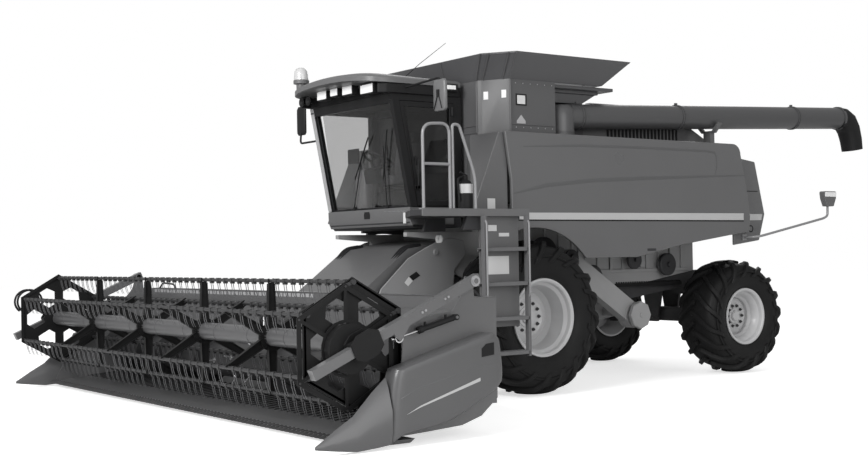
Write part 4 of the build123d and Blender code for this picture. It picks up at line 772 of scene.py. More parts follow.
cheeks = both_halves([(0.53, 0.905), (0.95, 0.930), (1.35, 0.938), (1.58, 0.920), (1.655, 0.86), (1.655, 0.835),
                      (1.52, 0.835)])
piece("roof_cap", lofted(roof_rings), roof_paint, replaces=("cab_roof",), angle=40, edge=0.004)
piece("roof_cheeks", plate(cheeks, 3.472, 3.586, "plan"), black_paint, edge=0.012)
piece("lamp_recess", brick((1.505, 1.522), (-0.77, 0.77), (3.476, 3.630)), black_paint)
print("roof: rings of", len(roof_plan), "points at", len(ROOF_LEVELS), "heights")


# %% Work lamps
def lamp_box(x, y, z, width, height, depth):
    """A rounded black case with a pale lens let into its front, as two shapes."""
    across, up = (y - width / 2, y + width / 2), (z - height / 2, z + height / 2)
    case = plate(cut_corners(across, up, 0.012), x - depth, x, "cross")
    pane = brick((x, x + 0.006), (across[0] + 0.010, across[1] - 0.010), (up[0] + 0.014, up[1] - 0.014))
    return case, pane


LAMPS = [  # forward, left, width, height over the ground
    (1.675, 0.660, 0.270, 3.535), (1.700, 0.285, 0.220, 3.560), (1.705, 0.000, 0.170, 3.574),
    (1.700, -0.285, 0.220, 3.560)]
cases, panes = zip(*[lamp_box(x, y, z, width, 0.125, 0.085) for x, y, width, z in LAMPS])
piece("work_lamp_cases", joined(*cases), plastic, edge=0.002)
piece("work_lamp_lenses", joined(*panes), lamp_glass, replaces=("roof_fittings",), edge=0.001)
piece("side_lamp", brick((0.60, 0.86), (0.918, 0.960), (3.530, 3.618)), plastic, edge=0.006)
piece("side_lamp_lens", brick((0.635, 0.825), (0.958, 0.965), (3.553, 3.600)), lamp_glass, edge=0.001)
print("work lamps:", len(LAMPS), "in front and one at the side")

# %% Beacon, horns and aerial
beacon_place = at(1.66, -0.835, 0.06)
beacon_base = [(3.56, 0.060), (3.700, 0.062), (3.705, 0.096), (3.745, 0.098), (3.752, 0.090), (3.752, 0.0)]
beacon_dome = [(3.750, 0.090), (3.815, 0.086), (3.860, 0.080), (3.888, 0.064), (3.902, 0.036), (3.905, 0.0)]
piece("beacon_base", turned(beacon_base, beacon_place, 32, axis=2), grey_plastic)
piece("beacon_dome", turned(beacon_dome, beacon_place, 32, axis=2), beacon_glass)
horn = turned([(0.0, 0.030), (0.05, 0.034), (0.075, 0.055), (0.085, 0.058), (0.080, 0.045), (0.060, 0.022),
               (0.060, 0.0)], np.zeros(3), 20, axis=0)
piece("corner_horns", joined(*[moved(horn, at(1.60, y, 3.535)) for y in (-0.80, -0.64)]), plastic, angle=40)
aerial_foot = turned([(3.68, 0.024), (3.71, 0.022), (3.735, 0.012), (3.74, 0.0)], at(0.96, 0.33, 0), 16, axis=2)
whip_path = [at(0.96, 0.33, 3.72), at(0.70, 0.33, 3.93), at(0.30, 0.33, 4.215)]
whip = swept(whip_path, ring_section(0.0045, 6), (0, 1, 0), [1.2, 0.9, 0.6])
piece("aerial", joined(aerial_foot, whip), plastic)
print("beacon, two horns and an aerial up to 4.2 m")

# %% [markdown]
# The windscreen bulges forward a little between its posts, so its points are a grid over width and height
# pushed out by a parabola of the width. The door's and the other side's panes are flat and tinted darker.

# %% Glazing
SCREEN_LOW, SCREEN_HIGH, SCREEN_HALF = 2.195, 3.372, 0.826
SCREEN_BULGE = 0.030


def screen_x(z):
    """How far forward the windscreen's posts stand at height z: a straight line from sill to head."""
    return 1.255 + 0.245 * (z - 2.190) / 1.280


def screen_pane(low, high, half, thickness=0.006):
    """A closed thin shell: outer and inner grids with their rims joined."""
    y, z = np.meshgrid(np.linspace(-half, half, 17), np.linspace(low, high, 7))
    front = screen_x(z) - 0.040 + SCREEN_BULGE * (1 - (y / half) ** 2)
    outer = np.stack([front + AXLE_X, y, z], -1).reshape(-1, 3)
    inner = outer - [thickness, 0, 0]
    number = np.arange(y.size).reshape(y.shape)
    edge = np.concatenate([number[0], number[1:, -1], number[-1, -2::-1], number[-2:0:-1, 0]])
    sides = np.stack([edge, np.roll(edge, -1), np.roll(edge, -1) + y.size, edge + y.size], -1).tolist()
    faces = grid_faces(*y.shape)
    return np.concatenate([outer, inner]), faces + [[i + y.size for i in face[::-1]] for face in faces] + sides


piece("windscreen", screen_pane(SCREEN_LOW, SCREEN_HIGH, SCREEN_HALF), windscreen_glass,
      replaces=("cab_windows",))
right_pane = [(0.632, 2.252), (1.172, 2.252), (1.330, 3.398), (0.632, 3.398)]
piece("right_glass", plate(right_pane, -0.885, -0.877), clear_glass)
piece("rear_glass", brick((0.540, 0.548), (-0.828, 0.828), (2.612, 3.378)), side_glass)
seal = ring_section(0.010, 8)
post_seals = [swept([at(screen_x(z) - 0.036, y, z) for z in (SCREEN_LOW, SCREEN_HIGH)], seal, (0, 1, 0))
              for y in (0.824, -0.824)]
sill_y = np.linspace(-SCREEN_HALF, SCREEN_HALF, 15)
sill_x = screen_x(2.2) - 0.036 + SCREEN_BULGE * (1 - (sill_y / SCREEN_HALF) ** 2)
sill_seal = swept(np.column_stack([AXLE_X + sill_x, sill_y, np.full(15, 2.199)]), seal)
piece("glass_seals", joined(*post_seals, sill_seal), soft_rubber)
print("windscreen from", SCREEN_LOW, "to", SCREEN_HIGH, "m, bulging", SCREEN_BULGE, "m")

# %% Wipers
WIPER_FEET = (-0.30, 0.42)
wiper_arms = [tube((1.262, -0.30, 2.205), (1.385, 0.10, 2.86), 0.007, 8),
              tube((1.262, 0.42, 2.205), (1.395, 0.56, 2.90), 0.007, 8)]
wiper_blades = [tube((1.330, -0.16, 2.56), (1.432, 0.30, 3.02), 0.009, 8),
                tube((1.335, 0.46, 2.52), (1.435, 0.70, 3.08), 0.009, 8)]
wiper_caps = [turned([(1.230, 0.028), (1.268, 0.026), (1.272, 0.0)], [AXLE_X, y, 2.205], 16, axis=0)
              for y in WIPER_FEET]
piece("wipers", joined(*wiper_arms, *wiper_blades, *wiper_caps), plastic)
print("wipers:", len(wiper_blades))

# %% Skirt, trims and door fittings
skirt_side = [(0.64, 2.185), (1.262, 2.185), (1.258, 2.05), (1.225, 1.985), (0.64, 1.985)]
skirt_front = [(1.255, 2.186), (1.272, 2.186), (1.268, 2.05), (1.236, 1.975), (1.212, 1.975), (1.250, 2.05)]
piece("cab_skirt", joined(plate(skirt_side, 0.872, 0.892), plate(skirt_side, -0.892, -0.872),
                          plate(skirt_front, -0.892, 0.892)), roof_paint, edge=0.006)
piece("right_post_trim", swept([at(screen_x(z) + 0.002, -0.865, z) for z in (2.195, 3.465)],
                               flat_section(0.036, 0.003), (1, 0, 0)), pale_paint)
piece("badge_place", plate([(0.055, 2.075), (-0.055, 2.075), (-0.062, 2.12), (-0.048, 2.158), (0.048, 2.158),
                            (0.062, 2.12)], 1.268, 1.278, "cross"), black_paint, edge=0.002)
piece("front_marker", brick((1.262, 1.276), (0.765, 0.815), (2.000, 2.125)), plate_film, edge=0.003)
piece("door_handle", joined(
    brick((1.150, 1.190), (0.899, 0.945), (2.390, 2.430)),
    tube((1.165, 0.93, 2.41), (1.165, 0.93, 2.72), 0.010, 10),
    brick((1.145, 1.195), (0.899, 0.91), (2.66, 2.76))), plastic, "door", edge=0.003)
piece("door_hinges", joined(*[tube((0.655, 0.912, z), (0.655, 0.912, z + 0.10), 0.012, 12)
                              for z in (2.30, 2.85, 3.25)]), plastic, "door")
print("cab skirt, trims, handle and three hinges")

# %% [markdown]
# Inside, through the glass, the driver's seat, the armrest console, the column with its rimmed wheel and a
# row of levers can be seen. The seat's cushions are lofted from rounded rings, so that they look stuffed.

# %% Seat
def cushion(x, y, z, power=0.32):
    """A stuffed block: rounded rectangles in plan, whose cosine and sine are raised to a power below one,
    smaller at the bottom and top and widest between."""
    angle = np.linspace(0, 2 * np.pi, 40, endpoint=False)
    circle = np.stack([np.cos(angle), np.sin(angle)], -1)
    unit = np.sign(circle) * np.abs(circle) ** power
    middle = np.array([x[0] + x[1], y[0] + y[1]]) / 2 + [AXLE_X, 0]
    half = np.array([x[1] - x[0], y[1] - y[0]]) / 2
    shares = ((0.0, 0.90), (0.12, 0.975), (0.35, 1.0), (0.70, 1.0), (0.90, 0.965), (0.98, 0.86), (1.0, 0.70))
    return lofted([np.column_stack([middle + unit * half * size, np.full(40, z[0] + (z[1] - z[0]) * share)])
                   for share, size in shares])


def leant(shape, foot, slope):
    """A shape sheared backwards with height, as a backrest leans."""
    points, faces = shape
    points = points.copy()
    points[:, 0] -= (points[:, 2] - foot) * slope
    return points, faces


seat_parts = joined(cushion((0.64, 1.08), (-0.245, 0.245), (2.48, 2.60)),
                    leant(cushion((0.630, 0.740), (-0.225, 0.225), (2.60, 3.00)), 2.60, 0.13),
                    leant(cushion((0.635, 0.725), (-0.130, 0.130), (3.01, 3.13)), 2.60, 0.13),
                    cushion((0.66, 0.93), (0.262, 0.320), (2.74, 2.79)))
piece("driver_seat", seat_parts, seat_cloth, replaces=("operator_seat",), angle=60)
bellows = [(2.38, 0.15), (2.40, 0.17), (2.415, 0.15), (2.43, 0.17), (2.445, 0.15), (2.46, 0.17), (2.48, 0.15)]
piece("seat_base", joined(brick((0.70, 1.00), (-0.17, 0.17), (2.04, 2.40)),
                          turned(bellows, at(0.85, 0, 0), 24, axis=2)), plastic, edge=0.006)
print("seat: cushion, back, headrest and armrest on bellows")

# %% Console and steering column
levers = [tube((x, y, 2.69), (x + 0.02, y, 2.83), 0.009, 10)
          for x, y in ((0.98, -0.34), (1.03, -0.44), (0.93, -0.44))]
knob = turned([(2.82, 0.020), (2.84, 0.026), (2.875, 0.022), (2.885, 0.0)], at(1.0, -0.34, 0), 16, axis=2)
piece("console", joined(cushion((0.70, 1.12), (-0.515, -0.275), (2.04, 2.70)), *levers, knob), grey_plastic,
      angle=50)
piece("monitor", brick((1.075, 1.105), (-0.68, -0.45), (2.78, 2.96)), plastic, edge=0.008)
COLUMN_TOP = np.array([1.112, 0.0, 2.765])
COLUMN_AXIS = np.array([-0.447, 0.0, 0.894])
WHEEL_AXES = np.array([(0.894, 0.0, 0.447), (0.0, 1.0, 0.0)])
angle = np.linspace(0, 2 * np.pi, 48)
wheel_middle = COLUMN_TOP + 0.03 * COLUMN_AXIS
rim_path = at(*wheel_middle) + 0.184 * np.stack([np.cos(angle), np.sin(angle)], -1) @ WHEEL_AXES
spokes = [tube(COLUMN_TOP + 0.02 * COLUMN_AXIS,
               wheel_middle + 0.180 * np.array([math.cos(a), math.sin(a)]) @ WHEEL_AXES, 0.011, 8)
          for a in (0.2, 2.3, 4.4)]
piece("steering_wheel", joined(
    swept(rim_path, ring_section(0.014, 10), COLUMN_AXIS), *spokes,
    tube(COLUMN_TOP - 0.02 * COLUMN_AXIS, COLUMN_TOP + 0.035 * COLUMN_AXIS, 0.045, 20),
    tube((1.170, 0, 2.06), (1.115, 0, 2.755), 0.036, 16), brick((1.10, 1.24), (-0.12, 0.12), (2.04, 2.075)),
    plate([(1.135, 2.52), (1.20, 2.50), (1.225, 2.66), (1.15, 2.70)], -0.13, 0.13)), plastic,
      replaces=("steering_column",), angle=40)
print("cab: roof, five lamps, glazing, wipers, seat, console and wheel")

# %% [markdown]
# ## Getting up
# The way up is a ladder with pressed treads, a platform with a raised grip pattern and rails of bent tube. A
# rail is one route with rounded corners and a round section; the treads repeat by their height.

# %% Handrails
DECK_TOP = 2.119
RAIL_Y = 1.90
RAILS = [  # (forward, height) corners of each bent tube
    [(1.79, 2.12), (1.79, 3.02), (1.44, 3.04), (1.44, 2.12)],
    [(1.79, 2.60), (1.44, 2.60)],
    [(1.40, 2.12), (1.40, 3.03), (1.31, 3.03), (1.10, 2.48), (1.10, 2.12)],
]
rail_tubes = [bent_tube([(x, RAIL_Y, z) for x, z in corners], 0.12, 0.017, 12, (0.31, 0.22, 0.93))
              for corners in RAILS]
rail_feet = [brick((x - 0.035, x + 0.035), (1.860, 1.930), (DECK_TOP, DECK_TOP + 0.010))
             for x in (1.79, 1.44, 1.40, 1.10)]
piece("rails", joined(*rail_tubes, *rail_feet), rail_paint, replaces=("handrails",), angle=50)
print("rails:", len(rail_tubes), "on", len(rail_feet), "feet")

# %% Platform
grip_x, grip_y = np.meshgrid(np.arange(1.0, 1.78, 0.06), np.arange(1.16, 1.88, 0.06))
grip = np.column_stack([grip_x.ravel(), grip_y.ravel(), np.zeros(grip_x.size)])
stud = (np.array([(AXLE_X - 0.016, 0, DECK_TOP), (AXLE_X + 0.016, 0, DECK_TOP), (AXLE_X, 0.005, DECK_TOP),
                  (AXLE_X - 0.010, 0, 2.1225), (AXLE_X + 0.010, 0, 2.1225), (AXLE_X, 0.003, 2.1225)]),
        [[0, 1, 2], [3, 4, 5], [0, 1, 4, 3], [1, 2, 5, 4], [2, 0, 3, 5]])
piece("platform_grip", repeated(stud, grip), bright_steel)
piece("platform_edge", brick((0.372, 1.832), (1.918, 1.934), (2.046, 2.128)), roof_paint, edge=0.003)
deck_plan = [(0.372, 1.600), (0.372, 1.930), (1.828, 1.930), (1.828, 1.700), (1.420, 1.020), (1.285, 0.960),
             (1.285, 0.870), (0.907, 0.870), (0.907, 1.600)]
bracket = [(0.95, 1.90), (1.26, 1.90), (1.20, 2.055), (0.95, 2.055)]
piece("platform_deck", joined(plate(deck_plan, 2.052, DECK_TOP, "plan"), plate(bracket, 1.10, 1.14),
                              plate(bracket, 1.84, 1.88)), frame_paint, replaces=("platform",), edge=0.004)
print("grip studs:", len(grip))

# %% Extinguisher
BOTTLE = (1.13, 1.76)
bottle = at(*BOTTLE, 0)
bottle_profile = [(2.121, 0.070), (2.135, 0.082), (2.38, 0.082), (2.43, 0.060), (2.45, 0.028), (2.50, 0.026),
                  (2.51, 0.0)]
piece("extinguisher", joined(
    turned(bottle_profile, bottle, 28, axis=2), tube((*BOTTLE, 2.50), (1.20, 1.76, 2.53), 0.012, 10),
    bent_tube([(1.15, 1.76, 2.49), (1.24, 1.77, 2.46), (1.225, 1.78, 2.22)], 0.04, 0.012, 8, (0, 1, 0))),
      plastic, angle=40)
piece("extinguisher_label", pipe_ring(2.30, 2.40, 0.0825, 0.075, bottle, 28, axis=2), plate_film)
print("extinguisher with a blank label")

# %% Ladder
STEPS = (0.530, 0.910, 1.290, 1.670)
LADDER_REAR, LADDER_FRONT = 0.420, 1.060
LADDER_BACK_Y, LADDER_FACE_Y = 1.832, 1.990


def tread_bar(y, z):
    """One pressed edge of a tread, over the ladder's width."""
    return brick((LADDER_REAR + 0.02, LADDER_FRONT - 0.02), y, z)


side_rails = [brick((x, x + 0.036), (1.930, LADDER_FACE_Y), (0.50, 2.049))
              for x in (LADDER_REAR, LADDER_FRONT - 0.036)]
treads = []
for z in STEPS:
    treads += [tread_bar((LADDER_BACK_Y, 1.988), (z + 0.018, z + 0.034)),
               tread_bar((1.968, LADDER_FACE_Y), (z - 0.006, z + 0.030)),
               tread_bar((LADDER_BACK_Y, 1.846), (z - 0.006, z + 0.030))]
teeth = [brick((x, x + 0.018), (1.85, 1.966), (z + 0.030, z + 0.037)) for z in STEPS
         for x in np.arange(LADDER_REAR + 0.06, LADDER_FRONT - 0.07, 0.055)]
piece("ladder_frame", joined(*side_rails, *treads, *teeth), ladder_paint, "swing_ladder", replaces=("ladder",),
      edge=0.002)
piece("ladder_backing",
      brick((LADDER_REAR + 0.045, LADDER_FRONT - 0.045), (LADDER_BACK_Y, 1.846), (0.83, 2.048)),
      feeder_paint, "swing_ladder", edge=0.003)
LADDER_PLATES = [  # (rear, front), (low, high)
    ((0.61, 0.935), (1.41, 1.61)), ((0.925, 0.985), (1.895, 1.955)), ((0.775, 0.895), (1.885, 1.952)),
    ((0.60, 0.745), (1.825, 1.865))]
piece("ladder_plates", joined(*[brick(x, (1.846, 1.851), z) for x, z in LADDER_PLATES]), plate_film,
      "swing_ladder", edge=0.001)
HANDLE = [(1.965, 1.15), (2.005, 1.18), (2.005, 1.98), (1.965, 2.01)]  # left, height
handles = [bent_tube([(x, y, z) for y, z in HANDLE], 0.03, 0.011, 8, (1, 0, 0))
           for x in (LADDER_FRONT - 0.022, LADDER_REAR + 0.022)]
piece("ladder_handle", joined(*handles), rail_paint, "swing_ladder")
print("ladder: treads", len(STEPS), "teeth", len(teeth))


# %% Mirrors
def mirror_head(x, y, z):
    """A rounded case, deeper in the middle: four rings of a cut rectangle across the machine, and its
    glass."""
    outline = np.array(cut_corners(y, z, 0.03))
    middle = outline.mean(0)
    depths = ((x[0], 0.985), (x[0] + 0.012, 1.0), (x[1] - 0.012, 0.97), (x[1], 0.80))
    rings = [np.column_stack([np.full(8, forward + AXLE_X), middle + (outline - middle) * size])
             for forward, size in depths]
    return lofted(rings), plate(middle + (outline - middle) * 0.93, x[0] - 0.003, x[0] + 0.001, "cross")


left_head, left_glass = mirror_head((1.312, 1.350), (1.482, 1.708), (3.205, 3.555))
right_head, right_glass = mirror_head((1.362, 1.392), (-1.445, -1.235), (3.185, 3.555))
left_arm = [(1.325, 0.93, 3.54), (1.325, 1.585, 3.575), (1.325, 1.595, 3.50)]
right_arm = [(1.400, -0.885, 3.08), (1.400, -1.33, 3.08), (1.385, -1.335, 3.22)]
piece("left_mirror_case", left_head, roof_paint, angle=45)
piece("left_mirror_pivot", joined(brick((1.348, 1.366), (1.575, 1.615), (3.36, 3.44)),
                                  tube((1.356, 1.58, 3.37), (1.356, 1.52, 3.23), 0.006, 8),
                                  tube((1.356, 1.61, 3.37), (1.356, 1.66, 3.23), 0.006, 8)), plastic,
      edge=0.003)
mirror_arms = [bent_tube(arm, 0.05, 0.013, 10, (1, 0, 0)) for arm in (left_arm, right_arm)]
piece("mirror_cases", joined(right_head, *mirror_arms), plastic, replaces=("mirrors",), angle=45)
piece("mirror_glasses", joined(left_glass, right_glass), mirror_glass)
print("access: rails, platform grip, ladder, mirrors")

# %% [markdown]
# ## The reel
# Six bats hang round the reel, each a tube with tines that stay upright while the reel turns, because an
# offset ring steers them by a crank. A tine is a double wire from one moulded clip: a small block and two
# thin prongs that taper and lean a little. One clip is worked out and repeated along the bat, and the bat is
# made again at six places round the circle.

# %% Bats with their tines
REEL_END = 3.5985
TINE_PITCH = 0.152
SPIDERS = (-2.160, -0.720, 0.720, 2.160)
SPOKES = np.radians(90 + 60 * np.arange(6))


def reel_place(distance, angle):
    """A place on the reel, forward of the front axle and up: distance along the angle from the reel's
    centre."""
    return REEL[0] + distance * math.cos(angle), REEL[2] + distance * math.sin(angle)


def prong(y):
    """One wire: out of the clip, down with a slight curve, to a thinner point."""
    drop = np.array([(0.000, 0.0), (-0.002, -0.040), (-0.010, -0.090), (-0.024, -0.135), (-0.042, -0.172)])
    path = np.column_stack([AXLE_X + drop[:, 0], np.full(5, y), drop[:, 1] - 0.008])
    return swept(path, ring_section(0.0036, 5), (0, 1, 0), [1.2, 1.1, 1.0, 0.85, 0.6])


def bat_bar(x, z):
    """A bat's tube, with the crank, its pin and its collar at the steered end."""
    pin = (x + 0.088, z - 0.034)
    return joined(
        swept([at(x, -3.605, z), at(x, 3.618, z)], ring_section(0.017, 14)),
        swept([at(x, 3.610, z), at(pin[0], 3.610, pin[1])], flat_section(0.004, 0.016)),
        tube((pin[0], 3.604, pin[1]), (pin[0], 3.634, pin[1]), 0.010, 12),
        tube((x, 3.600, z), (x, 3.624, z), 0.024, 14))


tine_y = np.arange(-3.50, 3.53, TINE_PITCH)
tine_y = tine_y[np.abs(tine_y[:, None] - np.array(SPIDERS)).min(1) > 0.062]  # clear of the spiders
clip = joined(brick((-0.016, 0.012), (-0.026, 0.026), (-0.034, 0.004)),
              brick((-0.020, 0.020), (-0.016, 0.016), (-0.022, 0.022)))
wires = joined(prong(-0.021), prong(0.021))
for number, spoke in enumerate(SPOKES, 1):
    bat_x, bat_z = reel_place(BAT_CIRCLE, spoke)
    offsets = np.column_stack([np.full(len(tine_y), bat_x), tine_y, np.full(len(tine_y), bat_z)])
    body, node = "bat_%d" % number, "reel_bat_%d" % number
    piece(node + "_bar", bat_bar(bat_x, bat_z), bat_paint, body, replaces=(node,), angle=50)
    piece(node + "_clips", repeated(clip, offsets), bat_paint, body)
    piece(node + "_tines", repeated(wires, offsets), tine_steel, body, angle=60)
print("tines:", len(tine_y) * 2 * len(SPOKES))

# %% [markdown]
# The reel's own frame is a tube with star-shaped spiders. A spider arm is pressed from sheet with turned-up
# edges, so each arm is a web and two flanges. The end stars are closed by hexagonal plates with windows, and
# a ring of bolts holds each of them to the tube.

# %% Reel frame
def reel_line(inner, outer, offset, y, spoke, section):
    """A bar along a spoke between two distances, `offset` gives how far beside the spoke each of its ends
    lies."""
    c, s = math.cos(spoke), math.sin(spoke)
    ends = [at(REEL[0] + far * c - beside * s, y, REEL[2] + far * s + beside * c)
            for far, beside in zip((inner, outer), offset)]
    return swept(ends, section, (-s, 0, c))


reel_centre = at(REEL[0], 0, REEL[2])
flanges = [reel_line(0.09, 0.50, (hand * 0.044, hand * 0.030), y, spoke, flat_section(0.022, 0.003))
           for y in SPIDERS for spoke in SPOKES for hand in (1, -1)]
hubs = []
for y in SPIDERS:
    for hand in (-1, 1):
        profile = [(0.006, 0.135), (0.016, 0.135), (0.016, 0.088), (0.050, 0.088), (0.050, 0.080),
                   (0.006, 0.080)]
        hubs.append(turned(np.array(profile) * [hand, 1] + [y, 0], reel_centre, 24, closed=True))
bolt_angle = np.linspace(0, 2 * np.pi, 6, endpoint=False) + 0.3
seats = np.stack([0.118 * np.cos(bolt_angle), 0 * bolt_angle, 0.118 * np.sin(bolt_angle)], -1)
for side, _ in SIDES:
    end = at(REEL[0], side * REEL_END, REEL[2])
    boss = [(0.0, 0.150), (0.010, 0.150), (0.012, 0.145), (0.012, 0.060), (0.030, 0.056), (0.030, 0.0)]
    hubs.append(outward(boss, side, end, 8))
    hubs.append(repeated(outward([(0.010, 0.014), (0.021, 0.014), (0.021, 0.0)], side, end, 6), seats))
    hexagon = [at(x, side * 3.586, z) for x, z in (reel_place(0.545, spoke) for spoke in SPOKES)]
    for corner, following in zip(hexagon, hexagon[1:] + hexagon[:1]):
        hubs.append(swept([corner, following], flat_section(0.010, 0.012), (0, 1, 0)))
piece("reel_star_flanges", joined(*flanges), reel_paint, "pickup_reel")
piece("reel_hubs", joined(*hubs), reel_paint, "pickup_reel", angle=30)
bands = [pipe_ring(y - 0.02, y + 0.02, 0.0905, 0.084, reel_centre) for y in np.arange(-3.24, 3.3, 0.72)]
core = turned([(-3.584, 0.0875), (3.584, 0.0875)], reel_centre, 40)
piece("reel_tube_bands", joined(core, *bands), star_paint, "pickup_reel")
print("reel frame: flanges", len(flanges), "bands", len(bands))

# %% [markdown]
# ## Crop auger and knife
# Auger flighting is sheet wound into a screw: every station of its edge turns by the same angle while it
# moves sideways by the same step. The outer edge has the flight's radius and the inner one the tube's. Both
# hands feed towards the middle, where fingers take over.

# %% Header auger
CORE_R, FLIGHT_R, FLIGHT_PITCH = 0.200, 0.303, 0.560


def flight(start, end, centre, wall=0.006, steps=28):
    """A screw between two places across the machine: angle is the way travelled divided by the pitch, in
    turns."""
    turns = abs(end - start) / FLIGHT_PITCH
    share = np.linspace(0, 1, int(turns * steps) + 1)
    angle = 2 * np.pi * turns * share
    y = start + (end - start) * share
    radii = np.array([CORE_R - 0.01, FLIGHT_R - 0.004, FLIGHT_R, FLIGHT_R, FLIGHT_R - 0.004, CORE_R - 0.01])
    shift = np.array([0.0, 0.001, 0.002, wall - 0.002, wall - 0.001, wall])
    return lofted(np.stack([centre[0] + np.cos(angle)[:, None] * radii, y[:, None] + shift,
                            centre[2] + np.sin(angle)[:, None] * radii], -1))


def finger(y, angle, centre):
    """A finger out of the auger's tube with its guide, both pointing along the angle."""
    collar_steps = [(0.196, 0.030), (0.207, 0.028), (0.210, 0.012), (0.196, 0.012)]
    guide = turned(collar_steps, np.zeros(3), 12, closed=True, axis=0)
    points, faces = spun(guide, np.zeros(3), [-angle])
    c, s = math.cos(angle), math.sin(angle)
    wire = tube((AUGER[0] + 0.15 * c, y, AUGER[2] + 0.15 * s),
                (AUGER[0] + 0.292 * c, y, AUGER[2] + 0.292 * s), 0.008, 8)
    return joined(wire, (points + centre + [0, y, 0], faces))


auger_centre = at(AUGER[0], 0, AUGER[2])
piece("auger_core", joined(
    turned([(-3.672, 0.199), (3.672, 0.199)], auger_centre, 48),
    turned([(-3.708, 0.035), (3.708, 0.035)], auger_centre, 20),
    flight(3.660, 0.620, auger_centre), flight(-3.666, -0.626, auger_centre)), auger_paint, "intake_auger",
      replaces=("header_auger",), angle=40)
fingers = [finger((index - 6.5) * 0.083, math.radians(75 * index), auger_centre) for index in range(14)]
piece("auger_fingers", joined(*fingers), bright_steel, "intake_auger", angle=40)
print("auger: two flights and", len(fingers), "fingers")

# %% [markdown]
# The knife runs in pointed guards, one every three inches. A guard is a loft: a flat lip behind, a thick
# middle and a point in front. Between two guards lies a triangular knife section.

# %% Cutterbar
GUARD_PITCH = 0.0762
guard_y = (np.arange(96) - 47.5) * GUARD_PITCH
GUARD = [  # forward, half width, low, high
    (3.770, 0.016, 0.054, 0.070), (3.800, 0.013, 0.052, 0.094), (3.850, 0.010, 0.052, 0.090),
    (3.890, 0.005, 0.058, 0.074), (3.906, 0.001, 0.064, 0.068)]
guard = lofted([[at(x, -half, low), at(x, half, low), at(x, half * 0.7, high), at(x, -half * 0.7, high)]
                for x, half, low, high in GUARD])


def along_bar(y):
    """Offsets across the machine, one for each y."""
    return np.column_stack([0 * y, y, 0 * y])


blade = plate([(3.775, -0.036), (3.775, 0.036), (3.845, 0.008), (3.845, -0.008)], 0.0785, 0.0815, "plan")
piece("knife_guards", joined(repeated(guard, along_bar(guard_y)),
                             brick((3.752, 3.800), (-3.699, 3.699), (0.058, 0.077))),
      frame_paint, "header", replaces=("cutterbar",), angle=30)
piece("knife_sections", joined(repeated(blade, along_bar((guard_y[1:] + guard_y[:-1]) / 2)),
                               brick((3.765, 3.782), (-3.66, 3.66), (0.0775, 0.084))),
      bright_steel, "header", angle=30)
print("guards:", len(guard_y))

# %% [markdown]
# ## Header sheets
# The back of the header carries a strip with a row of pale slots along most of its top. Hoses come over it to
# the reel, and ribs stiffen the floor under the auger and in front of it.

# %% Strip, slots and hoses
slots = [brick((2.4005, 2.404), (y - 0.036, y + 0.036), (1.190, 1.230)) for y in np.arange(-3.6, 0.65, 0.10)]
piece("back_strip", joined(brick((2.392, 2.402), (-3.699, 3.699), (1.118, 1.246)),
                           brick((2.285, 2.402), (-3.699, 3.699), (1.238, 1.248))),
      panel_paint, "header", edge=0.002)
piece("back_slots", joined(*slots), pale_paint, "header")
back_rib = [(2.34, 1.12), (2.40, 1.12), (2.372, 0.42), (2.345, 0.42)]
back_ribs = [plate(back_rib, y - 0.004, y + 0.004) for y in np.arange(-3.4, 3.5, 0.55) if abs(y) > 0.75]
piece("back_ribs", joined(*back_ribs), body_paint, "header")
for side, word in SIDES:
    route = [(2.33, side * 3.10, 1.235), (2.34, side * 3.16, 1.300), (2.36, side * 3.46, 1.315),
             (2.36, side * 3.58, 1.235)]
    piece(word + "_reel_hose", bent_tube(route, 0.05, 0.012, 10, (0, 1, 0), 8), soft_rubber, "header")
bow = np.linspace(-0.35 * np.pi, 1.15 * np.pi, 22) + 0.2
motor_hoses = [swept(np.column_stack([AXLE_X + 4.10 + 0.16 * np.cos(bow) + shift, np.full(22, -3.72),
                                      1.12 + 0.15 * np.sin(bow)]), ring_section(0.014, 10), (0, 1, 0))
               for shift in (0.0, 0.035)]
piece("reel_motor_hoses", joined(*motor_hoses), soft_rubber, "reel_lift_arms")
floor_rib = [(2.72, 0.165), (3.40, 0.120), (3.40, 0.128), (2.72, 0.176)]
floor_ribs = [plate(floor_rib, y - 0.010, y + 0.010) for y in np.arange(-3.55, 3.6, 0.127)]
piece("floor_ribs", joined(*floor_ribs), black_paint, "header")
print("header: slots", len(slots), "floor ribs", len(floor_ribs))

# %% [markdown]
# The header's ends are closed by deep moulded covers with a crease, and each end has a pointed divider.

# %% End covers
COVER = [(2.341, 0.495), (2.360, 0.860), (2.420, 0.915), (2.530, 0.922), (3.404, 0.700), (3.508, 0.640),
         (3.560, 0.330), (3.570, 0.060), (3.451, 0.098), (2.988, 0.169), (2.602, 0.325)]
COVER_MIDDLE = np.array([2.98, 0.52])
COVER_LEVELS = [  # left of the middle of the machine, share drawn in
    (3.713, 0.0), (3.800, 0.0), (3.836, 0.008), (3.860, 0.030), (3.876, 0.070), (3.882, 0.12), (3.884, 0.22)]


def moulded_cover(side, roundness=0.7):
    """The cover as a loft across the machine: its outline is a mix of Catmull-Rom curves and straight runs,
    drawn in towards its middle at the outer levels."""
    outline = np.asarray(COVER, float)
    p = np.concatenate([outline[-1:], outline, outline[:2]])
    t = np.linspace(0, 1, 6, endpoint=False)[:, None, None]
    a, b, c, d = p[:-3], p[1:-2], p[2:-1], p[3:]
    curve = roundness * catmull_rom(a, b, c, d, t) + (1 - roundness) * (b + (c - b) * t)
    smooth = curve.transpose(1, 0, 2).reshape(-1, 2)
    rings = []
    for y, share in COVER_LEVELS:
        ring = smooth + (COVER_MIDDLE - smooth) * share
        rings.append(np.column_stack([ring[:, 0] + AXLE_X, np.full(len(ring), side * y), ring[:, 1]]))
    return lofted(rings)


